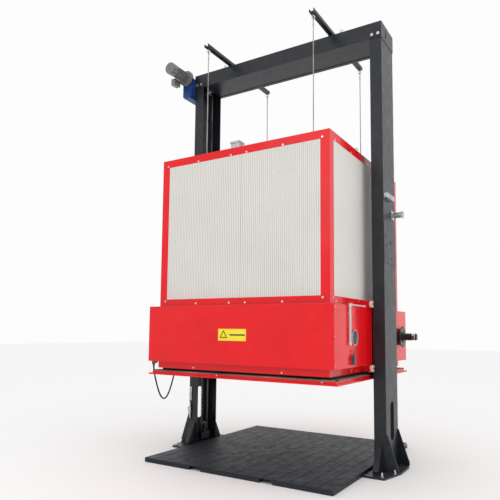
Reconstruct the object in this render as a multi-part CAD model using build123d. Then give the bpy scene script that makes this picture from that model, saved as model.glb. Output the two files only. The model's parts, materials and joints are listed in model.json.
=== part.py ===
from build123d import *
import math
import os

# Lifting-bell pallet shrink oven on a two-column gantry.  Millimetres, +Z up.
# The origin is on the floor, midway between the two columns.
# X runs along the crossbeam and -Y is the front, where the pallet is loaded.

# ---- driving dimensions ---------------------------------------------------
COLUMN_GAP = 2240          # clear width between the two columns
COLUMN_WIDTH = 127         # column section along X
COLUMN_DEPTH = 400         # column section along Y
COLUMN_STEEL = 6
GANTRY_HEIGHT = 4751
BEAM_HEIGHT = 176
BEAM_STEEL = 5
BEAM_LIP = 40
DECK_WIDTH = 2158
DECK_LENGTH = 2340
DECK_FRAME_HEIGHT = 38
DECK_PLATE = 8
PLANKS = 15
BOX_WIDTH = 2028           # upper oven casing
BOX_LENGTH = 2122
BOX_BOTTOM = 1665
BOX_TOP = 3311
PANEL = 80                 # sandwich panel thickness
RING_WIDTH = 2172          # jacket of the hot-air ring
RING_LENGTH = 2298
RING_BOTTOM = 1069
RING_MOUTH_WIDTH = 1600    # clear opening inside the ring
RING_MOUTH_LENGTH = 1730
BASE_WIDTH = 2018          # base flange under the ring
BASE_LENGTH = 2142
BASE_HEIGHT = 73
BUMPER_WIDTH = 2206        # safety bumper frame
BUMPER_LENGTH = 2240
BUMPER_BOTTOM = 925
BUMPER_GAP = 21            # air between the seal strip and the base flange
CHAIN_RADIUS = 60          # pitch radius of every chain wheel
SHAFT_DROP = 146           # lift shaft below the top of the beam
IDLER_HEIGHT = 200
ROLLER_RADIUS = 35
LIFT_UP = 1150             # travel of the bell above its stored place
ARM_CENTRE_X = -27         # the rope arms sit slightly left of the middle
ARM_SPACING = 1372
ROPE_CENTRE_Y = 61
ROPE_SPREAD_Y = 1422
CEILING_HEIGHT = 2170      # underside of the hung inner ceiling

# ---- fits and small clearances --------------------------------------------
RUNNING = 0.06             # radial clearance of a shaft in its bore
ROLL_GAP = 0.3             # roller to column face
SLIP = 0.3                 # sheet parts that slide over each other at assembly
HANG = 20                  # ceiling edge to ring mouth
TRIM = 3                   # folded trim sheet
SHEET = 2                  # jacket sheet
SKIN = 1.2                 # steel skins of the sandwich panels

# ---- values worked out from the above -------------------------------------
COLUMN_IN = COLUMN_GAP / 2
COLUMN_OUT = COLUMN_IN + COLUMN_WIDTH
HALF_DEPTH = COLUMN_DEPTH / 2
BEAM_BOTTOM = GANTRY_HEIGHT - BEAM_HEIGHT
SHAFT_HEIGHT = GANTRY_HEIGHT - SHAFT_DROP
BEAM_Y = HALF_DEPTH + SLIP + BEAM_STEEL
CHAIN_X = COLUMN_IN + 42
DECK_TOP = DECK_FRAME_HEIGHT + DECK_PLATE
BOX_X = BOX_WIDTH / 2
BOX_Y = BOX_LENGTH / 2
RING_X = RING_WIDTH / 2
RING_Y = RING_LENGTH / 2
RING_TOP = BOX_BOTTOM - 4
MOUTH_X = RING_MOUTH_WIDTH / 2
MOUTH_Y = RING_MOUTH_LENGTH / 2
BASE_X = BASE_WIDTH / 2
BASE_Y = BASE_LENGTH / 2
BASE_BOTTOM = RING_BOTTOM - BASE_HEIGHT
ARM_XS = (ARM_CENTRE_X - ARM_SPACING / 2, ARM_CENTRE_X + ARM_SPACING / 2)
ROPE_YS = (ROPE_CENTRE_Y - ROPE_SPREAD_Y / 2, ROPE_CENTRE_Y + ROPE_SPREAD_Y / 2)
SIDES = (("left", -1), ("right", 1))

os.makedirs("parts", exist_ok=True)


# ---- small helpers ---------------------------------------------------------
def block(x0, x1, y0, y1, z0, z1):
    """A box between two corners, given in any order."""
    size = Vector(abs(x1 - x0), abs(y1 - y0), abs(z1 - z0))
    middle = Vector((x0 + x1) / 2, (y0 + y1) / 2, (z0 + z1) / 2)
    return Pos(*middle) * Box(size.X, size.Y, size.Z)


def rod(axis, start, length, radius):
    """A cylinder from a start point along +X, +Y or +Z (or minus, by length)."""
    turn = {"x": (0, 90, 0), "y": (-90, 0, 0), "z": (0, 0, 0)}[axis]
    shift = {"x": (length / 2, 0, 0), "y": (0, length / 2, 0), "z": (0, 0, length / 2)}[axis]
    middle = [a + b for a, b in zip(start, shift)]
    return Pos(*middle) * Rot(*turn) * Cylinder(radius, abs(length))


def ring(axis, start, length, radius, bore):
    """A straight tube or washer."""
    start_cut = list(start)
    index = "xyz".index(axis)
    start_cut[index] -= math.copysign(1, length)
    cut = rod(axis, start_cut, length + math.copysign(2, length), bore)
    return rod(axis, start, length, radius) - cut


def hex_bolt(axis, seat, size, out):
    """A hex head of the given thread size standing on a seat."""
    turn = {"x": (0, 90, 0), "y": (-90, 0, 0), "z": (0, 0, 0)}[axis]
    thick = 0.62 * size
    head = extrude(RegularPolygon(0.92 * size, 6), amount=thick)
    if out < 0:
        head = Rot(180, 0, 0) * head
    return Pos(*seat) * Rot(*turn) * head


def sandwich(x0, x1, y0, y1, z0, z1, holes=(), hole_radius=0):
    """A closed sheet-steel panel, hollow inside, with optional upright holes through it."""
    outer = block(x0, x1, y0, y1, z0, z1)
    void = block(x0 + SKIN, x1 - SKIN, y0 + SKIN, y1 - SKIN, z0 + SKIN, z1 - SKIN)
    for x, y in holes:
        outer = outer - rod("z", (x, y, z0 - 1), z1 - z0 + 2, hole_radius)
        void = void - rod("z", (x, y, z0 - 1), z1 - z0 + 2, hole_radius + SKIN)
    return outer - void


def mirrored(shape):
    return mirror(shape, about=Plane.YZ)


def both_sides(shape):
    """The right-hand solid and its left-hand twin."""
    return [shape, mirrored(shape)]


def one(shape):
    """The single solid held by a shape."""
    solids = shape.solids()
    if len(solids) != 1:
        raise ValueError(f"expected one solid, found {len(solids)}")
    return solids[0]


def save(name, pieces):
    solids = []
    for piece in (pieces if isinstance(pieces, (list, tuple)) else [pieces]):
        solids.extend(piece.solids())
    shape = solids[0] if len(solids) == 1 else Compound(children=solids)
    export_step(shape, f"parts/{name}.step")


# ---- floor deck ------------------------------------------------------------
FORK_POCKET_X = 410        # centre of each fork pocket
FORK_POCKET = 140
DECK_BAR = 24


def deck_frame():
    """Steel bars that carry the planks, open at the front for the forks of a truck."""
    x_out = DECK_WIDTH / 2
    y_out = DECK_LENGTH / 2
    edges = [FORK_POCKET_X - FORK_POCKET / 2 - DECK_BAR / 2, FORK_POCKET_X + FORK_POCKET / 2 + DECK_BAR / 2]
    stringer_xs = [0, x_out - DECK_BAR / 2, (edges[1] + x_out) / 2] + edges
    bars = []
    for x in stringer_xs:
        for side in ([1] if x == 0 else [-1, 1]):
            middle = side * x
            bars.append(block(middle - DECK_BAR / 2, middle + DECK_BAR / 2, -y_out, y_out, 0, DECK_FRAME_HEIGHT))
    rear = block(-x_out, x_out, y_out - DECK_BAR, y_out, 0, DECK_FRAME_HEIGHT)
    front_middle = block(-edges[0], edges[0], -y_out, -y_out + DECK_BAR, 0, DECK_FRAME_HEIGHT)
    front_side = block(edges[1], x_out, -y_out, -y_out + DECK_BAR, 0, DECK_FRAME_HEIGHT)
    frame = bars[0]
    for piece in bars[1:] + [rear, front_middle, front_side, mirrored(front_side)]:
        frame = frame + piece
    return one(frame)


def deck_planks():
    pitch = DECK_WIDTH / PLANKS
    gap = 2
    planks = []
    for index in range(PLANKS):
        x0 = -DECK_WIDTH / 2 + index * pitch
        planks.append(block(x0 + gap / 2, x0 + pitch - gap / 2, -DECK_LENGTH / 2, DECK_LENGTH / 2,
                            DECK_FRAME_HEIGHT, DECK_TOP))
    return planks


# ---- columns and feet ------------------------------------------------------
FOOT_PLATE = 20
SLOT_WIDTH = 120
SLOT_BOTTOM = 300
SLOT_TOP = 692
LATCH_HEIGHT = 2670
LATCH_Y = 100
LATCH_PIN_RADIUS = 12
SHAFT_RADIUS = 17.5
COLUMN_TOP = GANTRY_HEIGHT - BEAM_STEEL - 2


def column(is_left):
    """A folded U section, open towards the other column, with a slot in its web for the idler."""
    outer = block(COLUMN_IN, COLUMN_OUT, -HALF_DEPTH, HALF_DEPTH, FOOT_PLATE, COLUMN_TOP)
    hollow = block(COLUMN_IN - 1, COLUMN_OUT - COLUMN_STEEL, -HALF_DEPTH + COLUMN_STEEL,
                   HALF_DEPTH - COLUMN_STEEL, 0, GANTRY_HEIGHT)
    section = outer - hollow
    web_start = COLUMN_OUT - COLUMN_STEEL - 5
    web_cut = COLUMN_STEEL + 10
    slot = block(web_start, web_start + web_cut, -SLOT_WIDTH / 2, SLOT_WIDTH / 2,
                 SLOT_BOTTOM + SLOT_WIDTH / 2, SLOT_TOP - SLOT_WIDTH / 2)
    for z in (SLOT_BOTTOM + SLOT_WIDTH / 2, SLOT_TOP - SLOT_WIDTH / 2):
        slot = slot + rod("x", (web_start, 0, z), web_cut, SLOT_WIDTH / 2)
    section = section - slot
    section = section - rod("x", (web_start, LATCH_Y, LATCH_HEIGHT), web_cut, LATCH_PIN_RADIUS + 1)
    if is_left:
        section = section - rod("x", (web_start, 0, SHAFT_HEIGHT), web_cut, SHAFT_RADIUS + 4)
        section = mirrored(section)
    return one(section)


FOOT_OUT = 127             # foot plate beyond the column web
FOOT_HALF_Y = 450
FOOT_CORNER_X = 76         # cut corner along X
FOOT_CORNER_Y = 310        # cut corner along Y
WEDGE = 59                 # front and rear wedges, clear of the rollers at the lowest stop
WEDGE_START = 26
FOOT_INNER_X = DECK_WIDTH / 2 + 6
GUSSET = 10
GUSSET_HEIGHT = 365
ANCHOR_X = COLUMN_OUT + 16
ANCHOR_Y = 405
ANCHOR_OUT_X = COLUMN_OUT + 88
ANCHOR_OUT_Y = 228
ANCHOR_HOLE = 11


def anchor_points():
    points = []
    for side in (-1, 1):
        points += [(ANCHOR_X, side * ANCHOR_Y), (ANCHOR_OUT_X, side * ANCHOR_OUT_Y)]
    return points


def foot():
    """Base plate with cut corners, anchor holes, two side gussets and a wedge front and rear."""
    out = COLUMN_OUT + FOOT_OUT
    flat = FOOT_HALF_Y - FOOT_CORNER_Y
    outline = Polyline((FOOT_INNER_X, -FOOT_HALF_Y), (out - FOOT_CORNER_X, -FOOT_HALF_Y), (out, -flat),
                       (out, flat), (out - FOOT_CORNER_X, FOOT_HALF_Y), (FOOT_INNER_X, FOOT_HALF_Y), close=True)
    plate = extrude(make_face(outline), amount=FOOT_PLATE)
    for x, y in anchor_points():
        plate = plate - rod("z", (x, y, -1), FOOT_PLATE + 2, ANCHOR_HOLE)
    side = make_face(Plane.XZ * Polyline((COLUMN_OUT, FOOT_PLATE), (out - 8, FOOT_PLATE),
                                         (out - 8, FOOT_PLATE + 30), (COLUMN_OUT + 8, FOOT_PLATE + GUSSET_HEIGHT),
                                         (COLUMN_OUT, FOOT_PLATE + GUSSET_HEIGHT), close=True))
    side_gusset = extrude(side, amount=GUSSET)
    front = make_face(Plane.YZ * Polyline((HALF_DEPTH, FOOT_PLATE), (HALF_DEPTH + 140, FOOT_PLATE),
                                          (HALF_DEPTH + 140, FOOT_PLATE + 25), (HALF_DEPTH + 6, FOOT_PLATE + 265),
                                          (HALF_DEPTH, FOOT_PLATE + 265), close=True))
    front_gusset = Pos(COLUMN_IN + WEDGE_START, 0, 0) * extrude(front, amount=WEDGE)
    whole = plate
    for y in (-HALF_DEPTH + GUSSET, HALF_DEPTH):
        whole = whole + Pos(0, y, 0) * side_gusset
    whole = whole + front_gusset + mirror(front_gusset, about=Plane.XZ)
    return one(whole)


BEAM_BOLT_DROP = 138


def gantry_bolts():
    """Beam bolts, small eye bolts on the beam and the stop bolt on each foot."""
    pieces = []
    for x in (COLUMN_OUT - 30, COLUMN_OUT - 98):
        for out in (-1, 1):
            seat = (x, out * BEAM_Y, GANTRY_HEIGHT - BEAM_BOLT_DROP)
            pieces += both_sides(one(hex_bolt("y", seat, 20, out)))
    for x in (-790, 790):
        stem = rod("z", (x, -BEAM_Y + 20, GANTRY_HEIGHT), 14, 7)
        eye = Pos(x, -BEAM_Y + 20, GANTRY_HEIGHT + 26) * Rot(90, 0, 0) * Torus(14, 4.5)
        pieces.append(one(stem + eye))
    stop = rod("y", (COLUMN_OUT + 53, HALF_DEPTH + GUSSET, 213), 46, 12)
    stop = stop + rod("y", (COLUMN_OUT + 53, HALF_DEPTH + GUSSET + 28, 213), 26, 29)
    pieces += both_sides(one(stop))
    return pieces


# ---- crossbeam, arms and hung ceiling --------------------------------------
def crossbeam():
    """An inverted tray that caps both columns and hides the lift shaft."""
    x_out = COLUMN_OUT
    outer = block(-x_out, x_out, -BEAM_Y, BEAM_Y, BEAM_BOTTOM, GANTRY_HEIGHT)
    inner_y = BEAM_Y - BEAM_STEEL
    hollow = block(-x_out - 1, x_out + 1, -inner_y, inner_y, BEAM_BOTTOM - 1, GANTRY_HEIGHT - BEAM_STEEL)
    tray = outer - hollow
    for side in (-1, 1):
        lip = block(-COLUMN_IN + SLIP, COLUMN_IN - SLIP, side * inner_y, side * (inner_y - BEAM_LIP),
                    BEAM_BOTTOM, BEAM_BOTTOM + BEAM_STEEL)
        tray = tray + lip
    end_plate = block(x_out, x_out + 4, -BEAM_Y - 3, BEAM_Y + 3, BEAM_BOTTOM - 8, GANTRY_HEIGHT)
    oval = block(x_out - 1, x_out + 5, -70, -38, SHAFT_HEIGHT + 20, SHAFT_HEIGHT + 80)
    for z in (SHAFT_HEIGHT + 20, SHAFT_HEIGHT + 80):
        oval = oval + rod("x", (x_out - 1, -54, z), 6, 16)
    right_end = end_plate - oval
    left_end = mirrored(end_plate) - rod("x", (-x_out - 5, 0, SHAFT_HEIGHT), 6, SHAFT_RADIUS + 4)
    cover_z = BEAM_BOTTOM + BEAM_STEEL
    cover = block(-COLUMN_IN + SLIP, COLUMN_IN - SLIP, -inner_y + 1, inner_y - 1, cover_z, cover_z + 3)
    return [one(tray + right_end + left_end), cover]


ARM_WIDTH = 56
ARM_HEIGHT = 36
ARM_STEEL = 5
ARM_FRONT = 52             # arm beyond the front ropes
ARM_REAR = 22
ARM_RAISE = 22             # spacers between the beam and the arms
ARM_BASE = GANTRY_HEIGHT + ARM_RAISE
ROPE_RADIUS = 5.5
ROPE_SPLICE = ARM_BASE - 66    # top end of each rope, in its thimble
CEILING_THICK = 60


def rope_points():
    return [(x, y) for x in ARM_XS for y in ROPE_YS]


def rope_arms():
    """Two upward channels on spacers across the beam; the ropes hang from their webs."""
    arms = []
    y0 = ROPE_YS[0] - ARM_FRONT
    y1 = ROPE_YS[1] + ARM_REAR
    for x in ARM_XS:
        outer = block(x - ARM_WIDTH / 2, x + ARM_WIDTH / 2, y0, y1, ARM_BASE, ARM_BASE + ARM_HEIGHT)
        hollow = block(x - ARM_WIDTH / 2 + ARM_STEEL, x + ARM_WIDTH / 2 - ARM_STEEL, y0 - 1, y1 + 1,
                       ARM_BASE + ARM_STEEL, ARM_BASE + ARM_HEIGHT + 1)
        arm = outer - hollow
        for y in ROPE_YS:
            arm = arm - rod("z", (x, y, ARM_BASE - 1), ARM_STEEL + 2, 8.5)
        for y in (-150, 150):
            arm = arm + block(x - ARM_WIDTH / 2, x + ARM_WIDTH / 2, y - 35, y + 35, GANTRY_HEIGHT, ARM_BASE)
        arms.append(one(arm))
    return arms


def rope_fittings():
    """An eye bolt through each arm, a thimble with a ferrule, and an eye with a ferrule on the ceiling."""
    pieces = []
    for x, y in rope_points():
        nut = Pos(x, y, ARM_BASE + ARM_STEEL) * extrude(RegularPolygon(13, 6), amount=12)
        stem = rod("z", (x, y, ARM_BASE - 18), 18 + ARM_STEEL + 26, 8)
        eye = Pos(x, y, ARM_BASE - 34) * Rot(90, 0, 0) * Torus(17, 5)
        pieces.append(one(nut + stem + eye))
        ferrule = ring("z", (x, y, ROPE_SPLICE - 59), 44, 9.5, ROPE_RADIUS)
        pieces.append(one(ferrule))
        ceiling_top = CEILING_HEIGHT + CEILING_THICK
        socket = ring("z", (x, y, ceiling_top + 22), 60, 10.5, ROPE_RADIUS)
        base = rod("z", (x, y, ceiling_top), 22, 24)
        pieces.append(one(socket + base))
    return pieces


def suspension_ropes():
    ropes = []
    for x, y in rope_points():
        bottom = CEILING_HEIGHT + CEILING_THICK + 22
        ropes.append(rod("z", (x, y, bottom), ROPE_SPLICE - bottom, ROPE_RADIUS))
    return ropes


def inner_ceiling():
    """Insulated panel that stays at its height while the bell slides down around it."""
    x = MOUTH_X - HANG
    y = MOUTH_Y - HANG
    top = CEILING_HEIGHT + CEILING_THICK
    return one(sandwich(-x, x, -y, y, CEILING_HEIGHT, top))


# ---- drive ------------------------------------------------------------------
MOTOR_X = -COLUMN_OUT - 83
MOTOR_HEIGHT = SHAFT_HEIGHT + 97
GEAR_FRONT = -292
GEAR_REAR = 80
GEAR_X0 = -COLUMN_OUT - 146
GEAR_X1 = -COLUMN_OUT - 8
SHAFT_START = GEAR_X0 - 6
SHAFT_END = COLUMN_OUT - COLUMN_STEEL - 3


def gear_housing():
    """Right-angle gear unit with a hollow output for the lift shaft."""
    body = block(GEAR_X0, GEAR_X1, GEAR_FRONT + 12, GEAR_REAR, SHAFT_HEIGHT - 165, SHAFT_HEIGHT + 128)
    body = chamfer(body.edges().filter_by(Axis.Y), 26)
    flange = rod("y", (MOTOR_X, GEAR_FRONT, MOTOR_HEIGHT), 14, 100)
    pad = block(GEAR_X1, -COLUMN_OUT - 4, GEAR_FRONT + 60, GEAR_REAR - 20, SHAFT_HEIGHT - 130, SHAFT_HEIGHT + 90)
    cover = rod("x", (GEAR_X0 - 8, 0, SHAFT_HEIGHT), 10, 62)
    housing = body + flange + pad + cover
    bore = rod("x", (GEAR_X0 - 20, 0, SHAFT_HEIGHT), 190, SHAFT_RADIUS + RUNNING)
    return one(housing - bore)


MOTOR_RADIUS = 68
MOTOR_END = GEAR_FRONT - 348
FIN_COUNT = 28


def motor_body():
    """Finned motor frame and its round flange."""
    flange = rod("y", (MOTOR_X, GEAR_FRONT, MOTOR_HEIGHT), -14, 100)
    shoulder = rod("y", (MOTOR_X, GEAR_FRONT - 14, MOTOR_HEIGHT), -26, 70)
    barrel = rod("y", (MOTOR_X, GEAR_FRONT - 40, MOTOR_HEIGHT), -220, MOTOR_RADIUS - 8)
    whole = flange + shoulder + barrel
    for index in range(FIN_COUNT):
        angle = 360 / FIN_COUNT * index
        fin = block(-1.5, 1.5, 0, 212, MOTOR_RADIUS - 12, MOTOR_RADIUS)
        whole = whole + Pos(MOTOR_X, GEAR_FRONT - 256, MOTOR_HEIGHT) * Rot(0, angle, 0) * fin
    return one(whole)


def motor_covers():
    """Fan cowl with an intake grille, and the terminal box under the frame."""
    start = GEAR_FRONT - 260
    cowl = rod("y", (MOTOR_X, start, MOTOR_HEIGHT), MOTOR_END - start, MOTOR_RADIUS + 6)
    cowl = fillet(cowl.edges().filter_by(GeomType.CIRCLE).sort_by(Axis.Y)[0], 14)
    hollow = rod("y", (MOTOR_X, start + 1, MOTOR_HEIGHT), MOTOR_END - start + 5, MOTOR_RADIUS + 3)
    cowl = cowl - hollow
    for radius in (16, 28, 40, 52):
        for index in range(12):
            place = Rot(0, 30 * index, 0) * Pos(radius, 0, 0)
            slot = Pos(MOTOR_X, MOTOR_END + 4, MOTOR_HEIGHT) * place * Rot(90, 0, 0) * Cylinder(2.4, 20)
            cowl = cowl - slot
    box = block(MOTOR_X - 118, MOTOR_X - 58, GEAR_FRONT - 168, GEAR_FRONT - 58,
                MOTOR_HEIGHT - 130, MOTOR_HEIGHT - 44)
    box = fillet(box.edges().filter_by(Axis.X), 8)
    arm = block(MOTOR_X - 92, MOTOR_X - 62, GEAR_FRONT - 60, GEAR_FRONT - 14, MOTOR_HEIGHT - 66, MOTOR_HEIGHT - 48)
    return [one(cowl), one(box + arm)]


BEARING_LENGTH = 20


def shaft_bearings():
    """One flanged bearing on the inside of each column web."""
    start = COLUMN_OUT - COLUMN_STEEL - BEARING_LENGTH
    body = ring("x", (start, 0, SHAFT_HEIGHT), BEARING_LENGTH, 42, SHAFT_RADIUS + RUNNING)
    return both_sides(one(body))


CHAIN_HALF = 7             # half of the chain's height
CHAIN_WIDE = 18
GROOVE = 8
WHEEL_DISC = 6


def lift_chains():
    """A loop over each drive wheel and its idler: two straight runs and two grooved wraps."""
    x0 = CHAIN_X - CHAIN_WIDE / 2
    x1 = CHAIN_X + CHAIN_WIDE / 2
    pieces = []
    for y in (-CHAIN_RADIUS, CHAIN_RADIUS):
        out = math.copysign(CHAIN_HALF, y)
        run = block(x0, x1, y - out, y + out, IDLER_HEIGHT, SHAFT_HEIGHT)
        groove = block(CHAIN_X - GROOVE / 2, CHAIN_X + GROOVE / 2, y - 2 * out, y + 0.45 * out, IDLER_HEIGHT, SHAFT_HEIGHT)
        pieces += both_sides(one(run - groove))
    for z, out in ((IDLER_HEIGHT, -1), (SHAFT_HEIGHT, 1)):
        wrap = ring("x", (x0, 0, z), CHAIN_WIDE, CHAIN_RADIUS + CHAIN_HALF, CHAIN_RADIUS - CHAIN_HALF)
        wrap = wrap - rod("x", (CHAIN_X - GROOVE / 2, 0, z), GROOVE, CHAIN_RADIUS + CHAIN_HALF - 4)
        wrap = wrap - block(x0 - 1, x1 + 1, -100, 100, z, z - out * 100)
        pieces += both_sides(one(wrap))
    return pieces


def chain_wheel(height, bore, hub):
    """Toothed disc with a hub, its teeth inside the chain's groove."""
    radius = CHAIN_RADIUS + 1.5
    teeth = 15
    disc = rod("x", (CHAIN_X - WHEEL_DISC / 2, 0, height), WHEEL_DISC, radius)
    for index in range(teeth):
        angle = 2 * math.pi * (index + 0.5) / teeth
        notch_y = math.cos(angle) * (radius + 2)
        notch_z = math.sin(angle) * (radius + 2)
        disc = disc - rod("x", (CHAIN_X - 10, notch_y, height + notch_z), 20, 7.5)
    wheel = disc + rod("x", (CHAIN_X - 12, 0, height), 24, hub)
    return one(wheel - rod("x", (CHAIN_X - 20, 0, height), 40, bore))


def drive_shaft():
    """Cross shaft with both drive wheels keyed on."""
    shaft = rod("x", (SHAFT_START, 0, SHAFT_HEIGHT), SHAFT_END - SHAFT_START, SHAFT_RADIUS)
    wheel = chain_wheel(SHAFT_HEIGHT, SHAFT_RADIUS - 1, 34)
    return one(shaft + wheel + mirrored(wheel))


IDLER_PIN_RADIUS = 12


def idler_brackets():
    """Fork, pin and adjusting screw under each idler, bolted to the column web."""
    cheeks = []
    for x in (CHAIN_X - 26, CHAIN_X + 20):
        cheek = block(x, x + 6, -88, 88, 50, 136) + block(x, x + 6, -30, 30, 130, 232)
        cheeks.append(cheek)
    base = block(CHAIN_X - 26, COLUMN_OUT - COLUMN_STEEL, -40, 40, 50, 60)
    pin = rod("x", (CHAIN_X - 32, 0, IDLER_HEIGHT), 64, IDLER_PIN_RADIUS)
    screw = rod("z", (CHAIN_X, 0, FOOT_PLATE), 56, 8)
    nut = Pos(CHAIN_X, 0, 60) * extrude(RegularPolygon(14, 6), amount=12)
    bracket = cheeks[0] + cheeks[1] + base + pin + screw + nut
    bracket = bracket + hex_bolt("x", (CHAIN_X - 26, -62, 92), 14, -1) + hex_bolt("x", (CHAIN_X - 26, 62, 92), 14, -1)
    return both_sides(one(bracket))


# ---- what is fixed on the columns -------------------------------------------
LATCH_GUIDE = 28
LATCH_CYLINDER = 80
LATCH_CAP = 14


def latch_units():
    """Guide, spring-return cylinder and valve box that drive the locking pin."""
    start = COLUMN_OUT
    guide = block(start, start + 8, LATCH_Y - 48, LATCH_Y + 48, LATCH_HEIGHT - 48, LATCH_HEIGHT + 48)
    guide = guide + rod("x", (start, LATCH_Y, LATCH_HEIGHT), LATCH_GUIDE, 24)
    guide = guide - rod("x", (start - 1, LATCH_Y, LATCH_HEIGHT), LATCH_GUIDE + 2, LATCH_PIN_RADIUS + RUNNING)
    cylinder = rod("x", (start + LATCH_GUIDE, LATCH_Y, LATCH_HEIGHT), LATCH_CYLINDER, 31)
    cylinder = cylinder - rod("x", (start + LATCH_GUIDE - 1, LATCH_Y, LATCH_HEIGHT), LATCH_CYLINDER - 8,
                              LATCH_PIN_RADIUS + 6)
    cap_x = start + LATCH_GUIDE + LATCH_CYLINDER
    cap = block(cap_x, cap_x + LATCH_CAP, LATCH_Y - 32, LATCH_Y + 32, LATCH_HEIGHT - 32, LATCH_HEIGHT + 32)
    unit = one(guide + cylinder + cap)
    valve = block(start, start + 36, -185, 75, LATCH_HEIGHT + 142, LATCH_HEIGHT + 196)
    valve = fillet(valve.edges().filter_by(Axis.X), 10)
    return both_sides(unit) + both_sides(one(valve))


COVER_BOTTOM = 2127
COVER_TOP = 2540


def access_covers():
    """Screwed sheet over the chain-joint hole in each column web."""
    plate = block(COLUMN_OUT, COLUMN_OUT + 4, -HALF_DEPTH, HALF_DEPTH, COVER_BOTTOM, COVER_TOP)
    for y, z in ((-127, 2405), (-121, 2314), (29, 2358), (46, 2193)):
        plate = plate + rod("x", (COLUMN_OUT + 4, y, z), 5, 8)
    return both_sides(one(plate))


def limit_switch_rail():
    """Cable rail and a limit switch with its two glands on the front of the left column."""
    x = -COLUMN_OUT
    y = -HALF_DEPTH
    rail = block(x + 13, x + 38, y - 9, y, 536, 705)
    switch = block(x - 4, x + 40, y - 28, y, 394, 460)
    upper = rod("z", (x + 24, y - 14, 460), 58, 11)
    lower = rod("z", (x + 24, y - 14, 326), 68, 11)
    return [rail, one(switch + upper + lower)]


# ---- bell: casing -----------------------------------------------------------
SEAM_X = 35                # joint between the two panels of a long face
SEAM_Y = 30
PANEL_GAP = 1
POST = 95                  # visible width of a corner post
TOP_TRIM = 85
BASE_TRIM = 75
ROOF_TRIM = 60
ROPE_HOLE = 24
INNER_X = BOX_X - TRIM - PANEL
INNER_Y = BOX_Y - TRIM - PANEL


def split_panel(x0, x1, y0, y1, z0, z1, axis, seam):
    """Two neighbouring sandwich panels with a thin joint at the seam."""
    half = PANEL_GAP / 2
    if axis == "x":
        return [one(sandwich(x0, seam - half, y0, y1, z0, z1)), one(sandwich(seam + half, x1, y0, y1, z0, z1))]
    return [one(sandwich(x0, x1, y0, seam - half, z0, z1)), one(sandwich(x0, x1, seam + half, y1, z0, z1))]


def end_panels(side):
    wall_z1 = BOX_TOP - TRIM - PANEL
    y_out = side * (BOX_Y - TRIM)
    y_in = side * INNER_Y
    return split_panel(-BOX_X + TRIM, BOX_X - TRIM, min(y_out, y_in), max(y_out, y_in),
                       BOX_BOTTOM + TRIM, wall_z1, "x", SEAM_X)


def side_panels():
    wall_z1 = BOX_TOP - TRIM - PANEL
    pieces = []
    for side in (-1, 1):
        x_out = side * (BOX_X - TRIM)
        x_in = side * INNER_X
        pieces += split_panel(min(x_out, x_in), max(x_out, x_in), -INNER_Y, INNER_Y,
                              BOX_BOTTOM + TRIM, wall_z1, "y", SEAM_Y)
    return pieces


def roof_panels():
    """Two roof panels with a hole for each rope."""
    z1 = BOX_TOP - TRIM
    half = PANEL_GAP / 2
    y = BOX_Y - TRIM
    panels = []
    for x0, x1 in ((-BOX_X + TRIM, SEAM_X - half), (SEAM_X + half, BOX_X - TRIM)):
        holes = [point for point in rope_points() if x0 < point[0] < x1]
        panels.append(one(sandwich(x0, x1, -y, y, z1 - PANEL, z1, holes, ROPE_HOLE)))
    return panels


def corner_posts():
    """Folded angle on each upright corner."""
    z0 = BOX_BOTTOM + BASE_TRIM
    z1 = BOX_TOP - TOP_TRIM
    post = block(BOX_X - POST, BOX_X, -BOX_Y, -BOX_Y + TRIM, z0, z1)
    post = one(post + block(BOX_X - TRIM, BOX_X, -BOX_Y, -BOX_Y + POST, z0, z1))
    rear = mirror(post, about=Plane.XZ)
    return both_sides(post) + both_sides(rear)


def edge_trims():
    """Folded angles round the roof and round the foot of the casing."""
    pieces = []
    for wall0, wall1, leg0, leg1 in ((BOX_TOP - TOP_TRIM, BOX_TOP, BOX_TOP - TRIM, BOX_TOP),
                                     (BOX_BOTTOM, BOX_BOTTOM + BASE_TRIM, BOX_BOTTOM, BOX_BOTTOM + TRIM)):
        front = block(-BOX_X, BOX_X, -BOX_Y, -BOX_Y + TRIM, wall0, wall1)
        front = one(front + block(-BOX_X, BOX_X, -BOX_Y, -BOX_Y + ROOF_TRIM, leg0, leg1))
        reach = BOX_Y - TRIM
        side_leg = BOX_Y - ROOF_TRIM
        side = block(BOX_X - TRIM, BOX_X, -reach, reach, wall0, wall1 - TRIM if wall1 == BOX_TOP else wall1)
        if wall0 == BOX_BOTTOM:
            side = block(BOX_X - TRIM, BOX_X, -reach, reach, wall0 + TRIM, wall1)
        side = one(side + block(BOX_X - ROOF_TRIM, BOX_X, -side_leg, side_leg, leg0, leg1))
        pieces += [front, mirror(front, about=Plane.XZ)] + both_sides(side)
    return pieces


def trim_screws():
    """Domed screws along every trim of the casing."""
    pieces = []
    for y_side in (-1, 1):
        for x in (96, 520):
            for z in (BOX_BOTTOM + 25, BOX_TOP - 73):
                start = (x, y_side * BOX_Y, z)
                pieces += both_sides(screw("y", start, y_side))
        for z in (BOX_BOTTOM + 56, BOX_TOP - 69):
            pieces += both_sides(screw("y", (BOX_X - 74, y_side * BOX_Y, z), y_side))
    for z in (BOX_BOTTOM + 25, BOX_TOP - 73):
        for y in (-930, -500, -40, 100, 520, 930):
            pieces += both_sides(screw("x", (BOX_X, y, z), 1))
    return pieces


def screw(axis, seat, out):
    """A stepped screw head on its seat."""
    return one(rod(axis, seat, out * 3, 10) + rod(axis, seat, out * 5, 6))


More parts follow.
